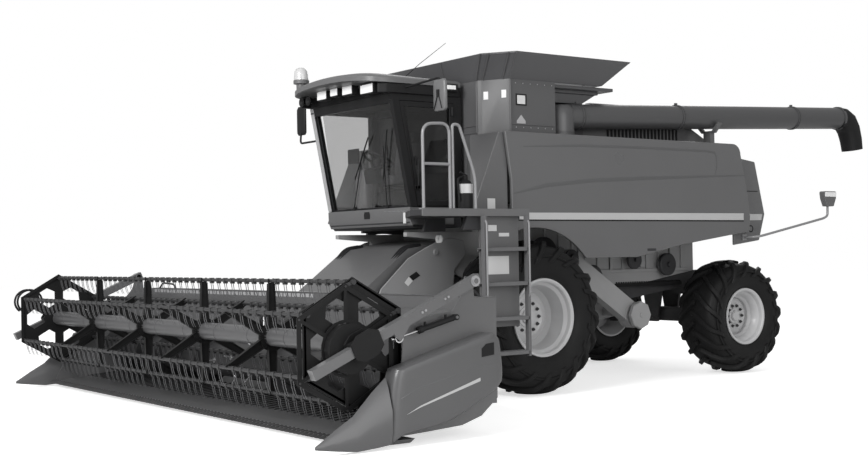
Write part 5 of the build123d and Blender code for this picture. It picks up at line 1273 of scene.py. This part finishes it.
DIVIDER = [  # forward, inner edge, ridge, outer edge, underside, shoulder, top
    (3.560, 3.713, 3.775, 3.882, 0.045, 0.330, 0.605), (3.700, 3.724, 3.780, 3.876, 0.030, 0.262, 0.492),
    (3.900, 3.745, 3.790, 3.865, 0.016, 0.155, 0.305), (4.080, 3.764, 3.793, 3.838, 0.036, 0.118, 0.205),
    (4.200, 3.778, 3.795, 3.818, 0.052, 0.090, 0.130), (4.268, 3.786, 3.796, 3.808, 0.062, 0.078, 0.092)]


def divider(side):
    """The pointed nose: sections that narrow and sink towards the tip, each a rounded gable."""
    rings = []
    for forward, inner, ridge, outer, low, shoulder, top in DIVIDER:
        profile = [(inner, low), (inner, shoulder),
                   (inner + (ridge - inner) * 0.55, top - (top - shoulder) * 0.25), (ridge, top),
                   (ridge + (outer - ridge) * 0.45, top - (top - shoulder) * 0.30), (outer, shoulder),
                   (outer, low + (shoulder - low) * 0.4), (outer - (outer - inner) * 0.12, low)]
        rings.append([at(forward, side * y, z) for y, z in profile])
    return lofted(rings)


piece("cover_shells", joined(moulded_cover(1), moulded_cover(-1), divider(1), divider(-1)), cover_and_fold_shade_paint,
      "header",
      replaces=("end_covers",), angle=28)
crease = [(2.43, 0.640), (2.56, 0.655), (3.30, 0.500), (3.47, 0.420)]
cover_stripe = [(2.62, 0.515), (3.28, 0.335), (3.42, 0.285), (3.27, 0.352), (2.62, 0.545)]
cover_badge = [(2.46, 0.74), (2.60, 0.725), (2.60, 0.80), (2.55, 0.84), (2.46, 0.85)]
for side, word in SIDES:
    piece(word + "_cover_stripe", plate(cover_stripe, *span(side, 3.8835, 3.8865)), stripe_paint, "header")
    fold = swept([at(x, side * 3.879, z) for x, z in crease], ring_section(0.012, 10, 0.5), (0, side, 0))
    piece(word + "_cover_crease", fold, cover_and_fold_shade_paint, "header", angle=60)
    piece(word + "_cover_badge", plate(cover_badge, *span(side, 3.8845, 3.8865)), black_paint, "header")
print("end covers and dividers, each", len(COVER_LEVELS), "and", len(DIVIDER), "sections")

# %% [markdown]
# ## Cylinders
# A hydraulic cylinder is a painted barrel with welded ends and a ground chrome rod. The carried-over barrels
# and rods keep their pins; glands and ports are added.

# %% Glands and ports
def gland(start, end, y, length, radius):
    """The screwed end of a barrel and its two ports, placed along the cylinder's line at its working
    length."""
    direction = np.array([end[0] - start[0], 0, end[1] - start[1]])
    direction /= np.linalg.norm(direction)
    foot = np.array([start[0], y, start[1]])
    first = foot + direction * length
    parts = [swept([at(*(first + direction * a)), at(*(first + direction * b))], ring_section(r, 20), (0, 1, 0))
             for a, b, r in ((-0.030, 0.012, radius * 1.10), (0.012, 0.024, radius * 0.92))]
    up = np.array([-direction[2], 0, direction[0]])
    for along in (0.10, length - 0.07):
        port = foot + direction * along
        parts.append(swept([at(*port), at(*(port + up * (radius + 0.022)))], ring_section(0.012, 10),
                           (0, 1, 0)))
    return joined(*parts)


for side, word in SIDES:
    piece(word + "_reel_gland", gland((2.80, 1.085), (3.42, 0.935), side * 3.770, 0.400, 0.030), black_paint,
          "reel_lift_barrels")
    piece(word + "_lift_gland", gland((0.26, 0.80), (1.34, 0.90), side * 0.475, 0.640, 0.055), black_paint,
          "header_lift_barrels")
print("glands on four cylinders")

# %% Reel arm bolts
ARM_PIVOT = np.array([2.600, 0, 1.400])
arm_way = (REEL - ARM_PIVOT) / np.linalg.norm(REEL - ARM_PIVOT)


def cross_pin(place, inner, outer, side, radius, sides):
    """A round pin across the machine between two distances from its middle."""
    return tube((place[0], side * inner, place[2]), (place[0], side * outer, place[2]), radius, sides)


for side, word in SIDES:
    heads = [cross_pin(ARM_PIVOT + arm_way * (along + step), 3.808, 3.818, side, 0.012, 6)
             for along in (0.35, 0.62) for step in (-0.02, 0.02)]
    pivot = [cross_pin(ARM_PIVOT, 3.700, 3.825, side, 0.034, 20),
             cross_pin(ARM_PIVOT, 3.808, 3.816, side, 0.050, 20)]
    piece(word + "_arm_bolts", joined(*heads, *pivot), bright_steel, "reel_lift_arms")
print("bolts and pivots on the reel arms")

# %% [markdown]
# ## Body sides
# Each side is closed by one large panel that swings up. Its outline is a few straight runs, the round of the
# wheel arch and a rounded rear corner. A long fold stiffens the top, a softer one runs down towards the
# front, and both are painted a shade darker than the panel, as painted shade. A pale stripe with a dark line
# under it follows the waist. Nameplates are left off.

# %% Panel outline
arch_angle = np.radians(np.linspace(75.4, 139.6, 15))
arch = np.column_stack([1.030 * np.cos(arch_angle), 0.895 + 1.030 * np.sin(arch_angle)])
corner_angle = np.radians(np.linspace(0, 90, 7))
rear_corner = np.column_stack([-3.420 - 0.14 * np.cos(corner_angle), 2.875 + 0.14 * np.sin(corner_angle)])
PANEL = np.concatenate([
    [(0.430, 3.030), (0.345, 2.480), (0.337, 1.935), (0.262, 1.935)], arch,
    [(-1.640, 1.563), (-2.430, 1.705), (-2.850, 1.760), (-3.480, 1.840), (-3.705, 1.865), (-3.722, 2.060),
     (-3.690, 2.300)], rear_corner])
SCREEN_HOLE = (-2.800, 2.600, 0.455)  # forward, height, radius
HIGH_FOLD = [(0.160, 2.858), (-0.75, 2.900), (-1.72, 2.908), (-2.90, 2.904), (-3.05, 2.888), (-3.078, 2.840),
             (-3.080, 2.700), (-3.050, 2.600)]
LOW_FOLD = [(0.315, 2.320), (-0.18, 2.420), (-0.89, 2.488), (-1.71, 2.530), (-3.62, 2.606)]
STRIPE = [(0.240, 2.022), (0.240, 2.100), (-3.585, 2.106), (-3.585, 2.016)]
STRIPE_LINE = [(0.252, 2.006), (0.252, 2.022), (-3.585, 2.016), (-3.585, 1.998)]
TAIL_STRIPE = [(-3.740, 2.016), (-3.740, 2.100), (-4.075, 2.100), (-4.055, 2.020)]
print("panel outline:", len(PANEL), "points")


# %% Side panels
def crease_line(points, y, width, height):
    """A rolled fold: a low half round that follows the points on the panel's face and runs out at both
    ends."""
    return swept([at(x, y, z) for x, z in points], ring_section(width, 10, height), (0, 1, 0),
                 [0.3] + [1.0] * (len(points) - 2) + [0.3])


def ring_plate(outline, hole, low, high, count=48):
    """An outline with a round hole in it: both loops are cut into triangles together, once for each face, and
    every loop carries its own wall between the faces."""
    turn = np.linspace(0, 2 * np.pi, count, endpoint=False)
    ring = np.array(hole[:2]) + hole[2] * np.stack([np.cos(turn), np.sin(turn)], -1)
    flat = np.concatenate([outline, ring])
    total, first = len(flat), len(outline)
    deep = np.column_stack([flat, np.zeros(total)])
    caps = [list(face) for face in tessellate_polygon([deep[:first].tolist(), deep[first:].tolist()])]
    loop = np.arange(total)
    following = np.concatenate([np.roll(loop[:first], -1), np.roll(loop[first:], -1)])
    walls = np.stack([loop, following, following + total, loop + total], -1).tolist()
    points = np.concatenate([np.column_stack([flat[:, 0] + AXLE_X, np.full(total, y), flat[:, 1]])
                             for y in (low, high)])
    return points, caps + (np.array(caps)[:, ::-1] + total).tolist() + walls


for side, word in SIDES:
    body = word + "_panel"
    depth = span(side, 1.556, 1.599)
    sheet = plate(PANEL, *depth) if side > 0 else ring_plate(PANEL, SCREEN_HOLE, *depth)
    piece(word + "_panel_sheet", sheet, panel_paint, body, replaces=(word + "_side_panel",), edge=0.013,
          angle=50)
    folds = joined(crease_line(HIGH_FOLD, side * 1.6, 0.016, 0.20),
                   crease_line(LOW_FOLD, side * 1.6, 0.024, 0.14))
    # The folds are painted a shade darker than their panel, as painted shade; the raised half round is real.
    piece(word + "_panel_folds_painted_shade", folds, cover_and_fold_shade_paint, body, angle=70)
    piece(word + "_stripe", plate(STRIPE, *span(side, 1.5995, 1.6025)), stripe_paint, body)
    piece(word + "_stripe_line", plate(STRIPE_LINE, *span(side, 1.5995, 1.602)), black_paint, body)
    piece(word + "_tail_stripe", plate(TAIL_STRIPE, *span(side, 1.4995, 1.5025)), stripe_paint)
    piece(word + "_panel_latch", joined(brick((0.245, 0.325), span(side, 1.598, 1.606), (2.03, 2.115)),
                                        brick((-1.95, -1.80), span(side, 1.598, 1.604), (1.635, 1.665))),
          frame_paint, body, edge=0.003)
print("side panels with folds and stripes")

# %% Shroud of the rotary screen
hole_x, hole_z, hole_radius = SCREEN_HOLE
screen = at(hole_x, 0, hole_z)
piece("screen_shroud", pipe_ring(-1.552, -1.300, hole_radius + 0.020, hole_radius + 0.004, screen, 64),
      black_paint)
print("shroud round a hole of radius", hole_radius, "m")

# %% [markdown]
# ## Grain tank and its extension
# The tank is sheet with rolled bands at its waist, beads on its corners and rows of rivets on its left side.
# The extension's leaves flare outwards and meet in folded seams. A few blank label plates keep the places of
# the signs.

# %% Tank plates
def on_bevel(share, height):
    """A place on the tank's bevelled corner: a share of the way from the front edge to the side edge."""
    return at(0.471 - 0.220 * share, 1.1505 + 0.340 * share, height)


def bevel_label(first, last, low, high):
    """A thin plate that lies on the bevelled corner between two shares of its width."""
    middle = (low + high) / 2
    return swept([on_bevel(first, middle), on_bevel(last, middle)], flat_section(0.003, (high - low) / 2))


piece("tank_labels", joined(bevel_label(0.20, 0.34, 3.42, 3.51), bevel_label(0.74, 0.88, 3.43, 3.52),
                            brick((0.03, 0.15), (1.490, 1.4925), (3.36, 3.46))), plate_film)
piece("tank_label_frame", brick((0.008, 0.172), (1.4895, 1.4915), (3.342, 3.478)), black_paint)
piece("tank_sign_place", plate([(0.03, 3.125), (0.16, 3.125), (0.16, 3.165), (0.095, 3.235), (0.03, 3.165)],
                               1.4895, 1.4925), pale_paint)
print("tank: three blank labels and a sign's place")

# %% Tank bands and rivets
BAND_HEIGHTS = ((3.118, 3.134), (3.036, 3.052))
tank_bands = [brick(x, y, z) for z in BAND_HEIGHTS
              for x, y in (((0.466, 0.480), (-1.14, 1.14)), ((-0.420, 0.250), (1.486, 1.498)))]
tank_bands.append(brick((-1.180, 0.250), (-1.498, -1.486), BAND_HEIGHTS[0]))
corner_beads = [swept([at(x, side * y, z) for z in (3.036, 3.64)], ring_section(0.012, 8), (0, 1, 0))
                for side, _ in SIDES for x, y in ((0.474, 1.146), (0.252, 1.492))]
piece("tank_bands", joined(*tank_bands, *corner_beads), tank_paint, edge=0.003)
rivet = turned([(0.0, 0.007), (0.003, 0.006), (0.005, 0.0)], np.zeros(3), 8)
rivets = np.array([at(x, 1.4895, z) for z in (3.09, 3.60) for x in np.arange(-0.38, 0.22, 0.11)])
piece("tank_rivets", repeated(rivet, rivets), bright_steel)
print("tank: bands", len(tank_bands), "corner beads", len(corner_beads), "rivets", len(rivets))

# %% Extension
LEFT_SEAMS = [  # foot and top of each folded seam
    ((0.476, 1.150, 3.648), (0.605, 1.390, 3.915)), ((0.430, 1.215, 3.648), (0.545, 1.475, 3.915)),
    ((0.300, 1.418, 3.648), (0.410, 1.672, 3.915)), ((0.254, 1.494, 3.648), (0.355, 1.752, 3.915)),
    ((0.474, 0.55, 3.648), (0.603, 0.62, 3.915)), ((-1.10, 1.14, 3.648), (-1.38, 1.74, 3.915))]
seams = [swept([at(*foot), at(*top)], ring_section(0.008, 8), (1, 0, 0)) for foot, top in LEFT_SEAMS]
piece("extension_folds", joined(*seams, *[other_side(seam) for seam in seams]), tank_paint)
rim_route = [(0.585, 1.375), (0.345, 1.730), (-1.412, 1.730)]
rim_loop = [at(x, y, 3.912) for x, y in rim_route] + [at(x, -y, 3.912) for x, y in rim_route[::-1]]
piece("extension_rim", swept(rim_loop, ring_section(0.012, 10)), dark_sheet)
piece("tank_ledge", joined(
    brick((-1.46, -0.435), (1.128, 1.40), (3.600, 3.640)),
    brick((-1.30, -0.450), (1.128, 1.30), (3.560, 3.600)),
    plate([(-1.05, 3.440), (-0.62, 3.440), (-0.52, 3.560), (-1.28, 3.560)], 1.128, 1.27)), dark_sheet,
      edge=0.006)
print("extension: seams on each side", len(seams))

# %% [markdown]
# ## Unloading auger
# The tube is rolled and its joints are clamped by flanged bands. It rests on a saddle when it is folded back.
# It starts at a round turret over the tank's sump, and ends in a spout whose mouth points down.

# %% Tube and turret
RISE = math.tan(math.radians(2.5))
TUBE_Y = 1.33
TURRET_X = -0.640


def tube_z(x):
    """The height of the tube's axis: a straight line rising to the rear at two and a half degrees."""
    return 3.262 + (TURRET_X - x) * RISE


def collar(first, last, radius, sides=40):
    """A round band on the tube's axis between two places along it."""
    return swept([at(x, TUBE_Y, tube_z(x)) for x in (first, last)], ring_section(radius, sides), (0, 1, 0))


tube_parts = [collar(-0.70, -5.955, 0.152, 48)]
for x in (-0.900, -2.620, -4.920):
    for ahead, behind, radius in ((0.006, 0.006, 0.163), (-0.024, 0.036, 0.163), (0.0, 0.030, 0.157)):
        tube_parts.append(collar(x - behind, x + ahead, radius))
    tube_parts.append(brick((x - 0.030, x), (TUBE_Y - 0.015, TUBE_Y + 0.015),
                            (tube_z(x) + 0.150, tube_z(x) + 0.185)))
turret = at(TURRET_X, TUBE_Y, 0)
tube_parts.append(turned([(3.062, 0.172), (3.085, 0.176), (3.105, 0.172), (3.240, 0.172), (3.345, 0.165),
                          (3.395, 0.130), (3.412, 0.0)], turret, 40, axis=2))
piece("tube_shell", joined(*tube_parts), tube_paint, "unloading_auger", replaces=("unload_tube",), angle=32)
bolt_angle = np.linspace(0, 2 * np.pi, 14, endpoint=False)
bolt_seats = 0.158 * np.stack([np.cos(bolt_angle), np.sin(bolt_angle), 0 * bolt_angle], -1)
bolt = turned([(3.082, 0.012), (3.098, 0.012), (3.098, 0.0)], turret, 6, axis=2)
piece("turret_bolts", repeated(bolt, bolt_seats), bright_steel, "unloading_auger")
# A pale strip along the top of the tube is a painted highlight.
highlight_strip_z = tube_z(-1.38)
piece("tube_top_painted_highlight", brick((-1.65, -1.10), (TUBE_Y - 0.045, TUBE_Y + 0.045),
                              (highlight_strip_z + 0.147, highlight_strip_z + 0.156)), pale_paint, "unloading_auger")
print("tube parts:", len(tube_parts), "turret bolts:", len(bolt_seats))

# %% Spout
SPOUT_R = 0.155
end_z = tube_z(-5.960)
spout_path = [(-5.950, end_z), (-6.05, end_z - 0.005), (-6.15, end_z - 0.055), (-6.225, end_z - 0.155),
              (-6.275, 3.19), (-6.300, 3.045)]
circle = ring_section(1.0, 32)
spout_section = np.sign(circle) * np.abs(circle) ** 0.75 * SPOUT_R


def spout_skin(share):
    """The spout at a share of its width, closed at the tube and open at its mouth."""
    points, faces = swept([at(x, TUBE_Y, z) for x, z in spout_path], spout_section * share, (0, 1, 0),
                          [1.0, 1.0, 1.0, 0.96, 0.92, 0.88])
    return points, faces[:-1]


points, faces = joined(spout_skin(1.0), spout_skin(0.94))
half = len(points) // 2
mouth = np.arange(half - len(circle), half)
following = np.roll(mouth, -1)
faces += np.stack([mouth, following, following + half, mouth + half], -1).tolist()
piece("spout_shell", (points, faces), plastic, "unloading_auger", replaces=("spout",), angle=50)
piece("spout_band", collar(-5.945, -5.985, 0.166), tube_paint, "unloading_auger")
print("spout:", len(points), "points in two skins")

# %% [markdown]
# ## Behind the tank
# The engine deck has a rail, a row of vents on each side, the stub of an exhaust and an intake with its cap.
# The rotary screen on the right is a drum with many small slots round its face.

# %% Deck
vents = [brick((x, x + 0.028), (1.088, 1.100), (2.98, 3.22)) for x in np.arange(-2.90, -1.60, 0.065)]
piece("deck_louvres", joined(*vents, *[other_side(vent) for vent in vents]), black_paint, edge=0.002)
piece("intake_stack", joined(
    turned([(3.36, 0.07), (3.52, 0.07), (3.53, 0.11), (3.60, 0.115), (3.64, 0.09), (3.65, 0.0)],
           at(-1.75, -0.55, 0), 28, axis=2),
    pipe_ring(3.34, 3.62, 0.055, 0.048, at(-2.35, -0.62, 0), axis=2)), black_paint)
DECK_RAILS = [  # (forward, height) corners
    [(-1.60, 2.93), (-1.60, 3.62), (-3.30, 3.62), (-3.30, 2.93)], [(-1.60, 3.28), (-3.30, 3.28)]]
piece("deck_rail", joined(*[bent_tube([(x, -1.45, z) for x, z in corners], 0.08, 0.016, 10, (0.2, 0.3, 0.93))
                            for corners in DECK_RAILS]), rail_paint, angle=50)
print("deck: vents on each side", len(vents))

# %% Rotary screen
piece("screen_drum", turned([(-1.095, 0.428), (-1.270, 0.428), (-1.284, 0.418), (-1.290, 0.400), (-1.290, 0.0)],
                            screen, 64), black_paint, "air_screen", replaces=("rotary_screen",), angle=35)
slot_rings = []
for radius, number in ((0.09, 24), (0.18, 40), (0.27, 56)):
    slot = moved(brick((-0.004, 0.004), (-1.2935, -1.2900), (radius, radius + 0.095)), (-AXLE_X, 0, 0))
    slot_rings.append(spun(slot, np.zeros(3), np.linspace(0, 2 * np.pi, number, endpoint=False)))
piece("screen_slots", moved(joined(*slot_rings), screen), under_paint, "air_screen")
print("screen: rings of slots", len(slot_rings))

# %% [markdown]
# ## Under the body
# Between the wheels the separator's side is ribbed sheet with belt pulleys. The return elevator has a cover
# at its boot and a drive at its head, and a toothed track lies along the shoe. The warning lamp stands out on
# its arm.

# %% Ribs and drives
PULLEYS = (  # forward, height, radius, left
    (-1.55, 1.30, 0.17, 0.86), (-2.30, 1.52, 0.12, 0.86), (-0.75, 1.62, 0.21, 0.86), (-2.95, 1.45, 0.15, 0.82))
GROOVES = np.array([  # left of the pulley's middle, share of its radius
    (-0.03, 0.9), (-0.02, 1.0), (-0.005, 0.9), (0.005, 0.9), (0.02, 1.0), (0.03, 0.9), (0.03, 0.25),
    (0.06, 0.2), (0.06, 0.0)])
ribs, track = [], []
for side, _ in SIDES:
    ribs += [brick((x, x + 0.05), span(side, 0.718, 0.742), (1.40, 1.90))
             for x in np.arange(-3.35, -0.95, 0.22)]
    ribs.append(brick((-3.45, -0.90), span(side, 0.718, 0.752), (1.36, 1.40)))
    teeth = [[(x, 1.215), (x + 0.03, 1.215), (x + 0.022, 1.235), (x + 0.008, 1.235)]
             for x in np.arange(-3.30, -2.10, 0.042)]
    track += [plate(tooth, *span(side, 0.70, 0.73)) for tooth in teeth]
    track.append(brick((-3.32, -2.08), span(side, 0.70, 0.73), (1.17, 1.215)))
# The separator's ribs keep the pale underbody paint, which lifts their shade as painted light.
piece("separator_ribs", joined(*ribs), under_paint, edge=0.004)
pulleys = [turned(GROOVES * [1, radius] + [y, 0], at(x, 0, z), 36) for x, z, radius, y in PULLEYS]
piece("drive_pulleys", joined(*pulleys, *[other_side(pulley) for pulley in pulleys]), frame_paint, angle=30)
piece("shoe_rack", joined(*track), black_paint)
boot_steps = [(1.141, 0.178), (1.185, 0.178), (1.195, 0.168), (1.195, 0.030), (1.204, 0.028), (1.204, 0.0)]
drive_steps = [(1.140, 0.110), (1.160, 0.110), (1.164, 0.050), (1.20, 0.045), (1.20, 0.0)]
piece("elevator_boot_cover", turned(boot_steps, at(-2.08, 0, 0.82), 8), under_paint, angle=30)
piece("elevator_drive", turned(drive_steps, at(-0.95, 0, 1.56), 32), frame_paint, angle=30)
print("under the body: ribs", len(ribs), "pulleys", 2 * len(pulleys), "track parts", len(track))

# %% Warning lamp and tail
LAMP_ARM = [(-3.70, 1.512, 1.79), (-3.71, 1.66, 1.79), (-3.80, 1.712, 1.805), (-4.90, 1.872, 2.035),
            (-4.968, 1.880, 2.07), (-4.972, 1.880, 2.240)]
piece("lamp_arm", joined(bent_tube(LAMP_ARM, 0.05, 0.016, 12, (0.1, 0.3, 1)),
                         brick((-3.74, -3.66), (1.500, 1.514), (1.75, 1.83))), rail_paint,
      replaces=("warning_arm",), angle=50)
lamp_case = [(-5.055, 2.195), (-4.915, 2.195), (-4.865, 2.300), (-4.852, 2.385), (-4.866, 2.400),
             (-5.104, 2.400), (-5.118, 2.385), (-5.105, 2.300)]
piece("warning_lamp", plate(lamp_case, 1.836, 1.924), grey_plastic, edge=0.010)
piece("warning_lens", brick((-5.100, -4.870), (1.920, 1.931), (2.325, 2.388)), lamp_glass, edge=0.004)
tail_lamps = [brick((-4.112, -4.085), span(side, 1.22, 1.42), (2.10, 2.20)) for side, _ in SIDES]
tail_seams = [brick((-3.99, -3.52), span(side, 1.4985, 1.5025), (2.400, 2.410)) for side, _ in SIDES]
piece("tail_lamps", joined(*tail_lamps), dark_lens, edge=0.004)
piece("tail_seams", joined(*tail_seams), black_paint)
piece("tail_hole", pipe_ring(1.499, 1.503, 0.048, 0.034, at(-3.84, 0, 1.905), 20), black_paint)
piece("corner_marker", brick((0.55, 0.66), (1.5490, 1.5530), (2.14, 2.26)), plate_film, edge=0.002)
piece("corner_lamp", turned([(1.548, 0.045), (1.560, 0.042), (1.563, 0.0)], at(0.74, 0, 2.10), 20), dark_lens)
print("warning lamp, tail lamps and corner marker")

# %% Feeder sheets
FEEDER_SHEET = [
    (0.40, 1.640), (0.44, 1.800), (0.62, 1.832), (0.80, 1.800), (0.98, 1.725), (1.24, 1.600), (1.62, 1.260),
    (1.66, 1.170), (1.36, 1.010), (1.10, 1.045), (0.80, 1.110), (0.60, 1.240), (0.575, 1.460)]
LABEL = [(1.298, 1.323), (1.238, 1.387), (1.183, 1.340), (1.248, 1.282)]
LABEL_PLACE = [(1.232, 1.392), (1.132, 1.447), (1.077, 1.400), (1.178, 1.345)]
# The feeder sheet is pale, and its paint also lifts the shade the cab casts on it, as painted light.
piece("feeder_side_sheet", side_plates(FEEDER_SHEET, 0.785, 0.803), shield_paint, "header", edge=0.008)
mounts = [tube((x, side * 0.698, z), (x, side * 0.787, z), 0.016, 12) for side, _ in SIDES
          for x, z in ((0.98, 1.55), (1.42, 1.27), (1.16, 1.17))]
piece("feeder_sheet_mounts", joined(*mounts), frame_paint, "header", angle=40)
feeder_hoses = [bent_tube([(0.98, side * y, 1.748), (1.165, side * y, 1.724), (1.92, side * y, 0.968)],
                          0.09, 0.023, 8, (0, 1, 0))
                for side, _ in SIDES for y in (0.672, 0.622, 0.570)]
piece("feeder_hoses", joined(*feeder_hoses), soft_rubber, "header")
piece("feeder_labels", side_plates(LABEL, 0.801, 0.8055), plate_film, "header")
piece("feeder_label_places", side_plates(LABEL_PLACE, 0.801, 0.8055), black_paint, "header")
piece("feeder_sheet_cap", turned([(0.802, 0.036), (0.812, 0.036), (0.817, 0.028), (0.817, 0.0)],
                                 at(0.85, 0, 1.664), 24), shield_paint, "header", angle=30)
print("feeder sheets on", len(mounts), "mounts, with", len(feeder_hoses), "hoses")

# %% Feeder drives
lamp_dish = [(0.0, 0.046), (0.012, 0.046), (0.020, 0.030), (0.020, 0.0)]
piece("step_lamp", joined(*[turned(lamp_dish, at(0.95, y, 1.815), 28, axis=0) for y in (1.0, 1.045)]),
      plate_film)
feeder_ribs = []
for step in range(5):
    forward, high, low = 1.20 + step * 0.20, 1.55 - step * 0.155, 1.16 - step * 0.15
    rib = [(forward, high), (forward + 0.025, high - 0.02), (forward - 0.01, low),
           (forward - 0.035, low + 0.02)]
    feeder_ribs.append(side_plates(rib, 0.699, 0.716))
piece("feeder_ribs", joined(*feeder_ribs), body_paint, "header", edge=0.003)
piece("feeder_pulley", joined(
    turned([(0.702, 0.17), (0.712, 0.18), (0.730, 0.165), (0.748, 0.18), (0.758, 0.17), (0.758, 0.05),
            (0.790, 0.045), (0.790, 0.0)], at(0.55, 0, 1.55), 40),
    turned([(0.702, 0.11), (0.735, 0.12), (0.750, 0.04), (0.78, 0.035), (0.78, 0.0)], at(1.98, 0, 0.82), 32)),
      frame_paint, "header", angle=30)
print("feeder: ribs on each side", len(feeder_ribs))

# %% [markdown]
# ## Light and camera
# The machine stands in flat light against white. A pale floor keeps a soft contact shadow, and the sky is a
# broad soft source. One large lamp lights the front, a second one the left side, and a weaker third one
# stands behind on the far side.

# %% Floor and sky
def linked(name, data):
    """A new object in the scene."""
    thing = bpy.data.objects.new(name, data)
    bpy.context.collection.objects.link(thing)
    return thing


def two_looks(nodes, links, lighting, seen, output):
    """One shader where a surface lights the scene, and another where the camera looks straight at it."""
    ray = add_node(nodes, "LightPath")
    choose = add_node(nodes, "MixShader")
    for socket, source in enumerate((ray.outputs["Is Camera Ray"], lighting.outputs[0], seen.outputs[0])):
        links.new(source, choose.inputs[socket])
    links.new(choose.outputs[0], nodes[output].inputs["Surface"])


ground_mesh = bpy.data.meshes.new("studio_floor")
ground_mesh.from_pydata([(-60, -60, 0), (60, -60, 0), (60, 60, 0), (-60, 60, 0)], [], [[0, 1, 2, 3]])
ground = linked("studio_floor", ground_mesh)
floor_paint = bpy.data.materials.new("studio_paper")
floor_paint.use_nodes = True
floor_nodes, floor_links = floor_paint.node_tree.nodes, floor_paint.node_tree.links
floor_shader = floor_nodes["Principled BSDF"]
for socket, value in {"Base Color": (0.80, 0.80, 0.80, 1), "Roughness": 0.9, "Specular IOR Level": 0.0}.items():
    floor_shader.inputs[socket].default_value = value
glow = add_node(floor_nodes, "Emission", {"Color": (1, 1, 1, 1), "Strength": 0.62})
both = add_node(floor_nodes, "AddShader")
floor_links.new(floor_shader.outputs[0], both.inputs[0])
floor_links.new(glow.outputs[0], both.inputs[1])
two_looks(floor_nodes, floor_links, floor_shader, both, "Material Output")
ground_mesh.materials.append(floor_paint)

world = bpy.data.worlds.new("studio")
bpy.context.scene.world = world
world.use_nodes = True
sky_nodes = world.node_tree.nodes
background = sky_nodes["Background"]
background.inputs["Color"].default_value = (1, 1, 1, 1)
background.inputs["Strength"].default_value = 0.50
white = add_node(sky_nodes, "Background", {"Color": (1, 1, 1, 1), "Strength": 1.0})
two_looks(sky_nodes, world.node_tree.links, background, white, "World Output")
print("floor and sky")


# %% Lamps
def area_lamp(name, place, target, size, power):
    """A square soft lamp at a place, turned towards its target."""
    light = bpy.data.lights.new(name, "AREA")
    light.shape = "SQUARE"
    light.size = size
    light.energy = power
    thing = linked(name, light)
    thing.location = place
    thing.rotation_euler = (Vector(target) - Vector(place)).to_track_quat("-Z", "Y").to_euler()
    return thing


key = area_lamp("key_light", (15.0, 5.0, 8.5), (1.0, 0, 1.5), 7.0, 2300)
fill = area_lamp("side_light", (3.0, 15.0, 5.0), (0.0, 0, 1.2), 9.0, 650)
rim_light = area_lamp("far_light", (-9.0, -9.0, 10.0), (0, 0, 2.0), 8.0, 400)
print("three soft lamps")

# %% [markdown]
# The camera stands ahead and to the left, at a standing person's eye height, with a lens of about 53 mm.

# %% Camera
EYE = Vector((AXLE_X + 9.588, 12.855, 1.655))
YAW, PITCH, ROLL = 4.0862, 0.0118, -0.0179
forward = Vector((math.cos(YAW) * math.cos(PITCH), math.sin(YAW) * math.cos(PITCH), math.sin(PITCH)))
level_right = Vector((math.sin(YAW), -math.cos(YAW), 0.0))
level_up = level_right.cross(forward)
right = level_right * math.cos(ROLL) + level_up * math.sin(ROLL)
upward = level_up * math.cos(ROLL) - level_right * math.sin(ROLL)
lens = bpy.data.cameras.new("eye_level")
lens.lens = 53.09
lens.sensor_width = 36.0
lens.clip_end = 200.0
camera = linked("eye_level", lens)
camera.matrix_world = Matrix((
    (right.x, upward.x, -forward.x, EYE.x),
    (right.y, upward.y, -forward.y, EYE.y),
    (right.z, upward.z, -forward.z, EYE.z),
    (0, 0, 0, 1),
))
bpy.context.scene.camera = camera
bpy.context.scene.view_settings.view_transform = "Standard"
print("the eye stands at", tuple(EYE), "with a lens of", lens.lens, "mm")
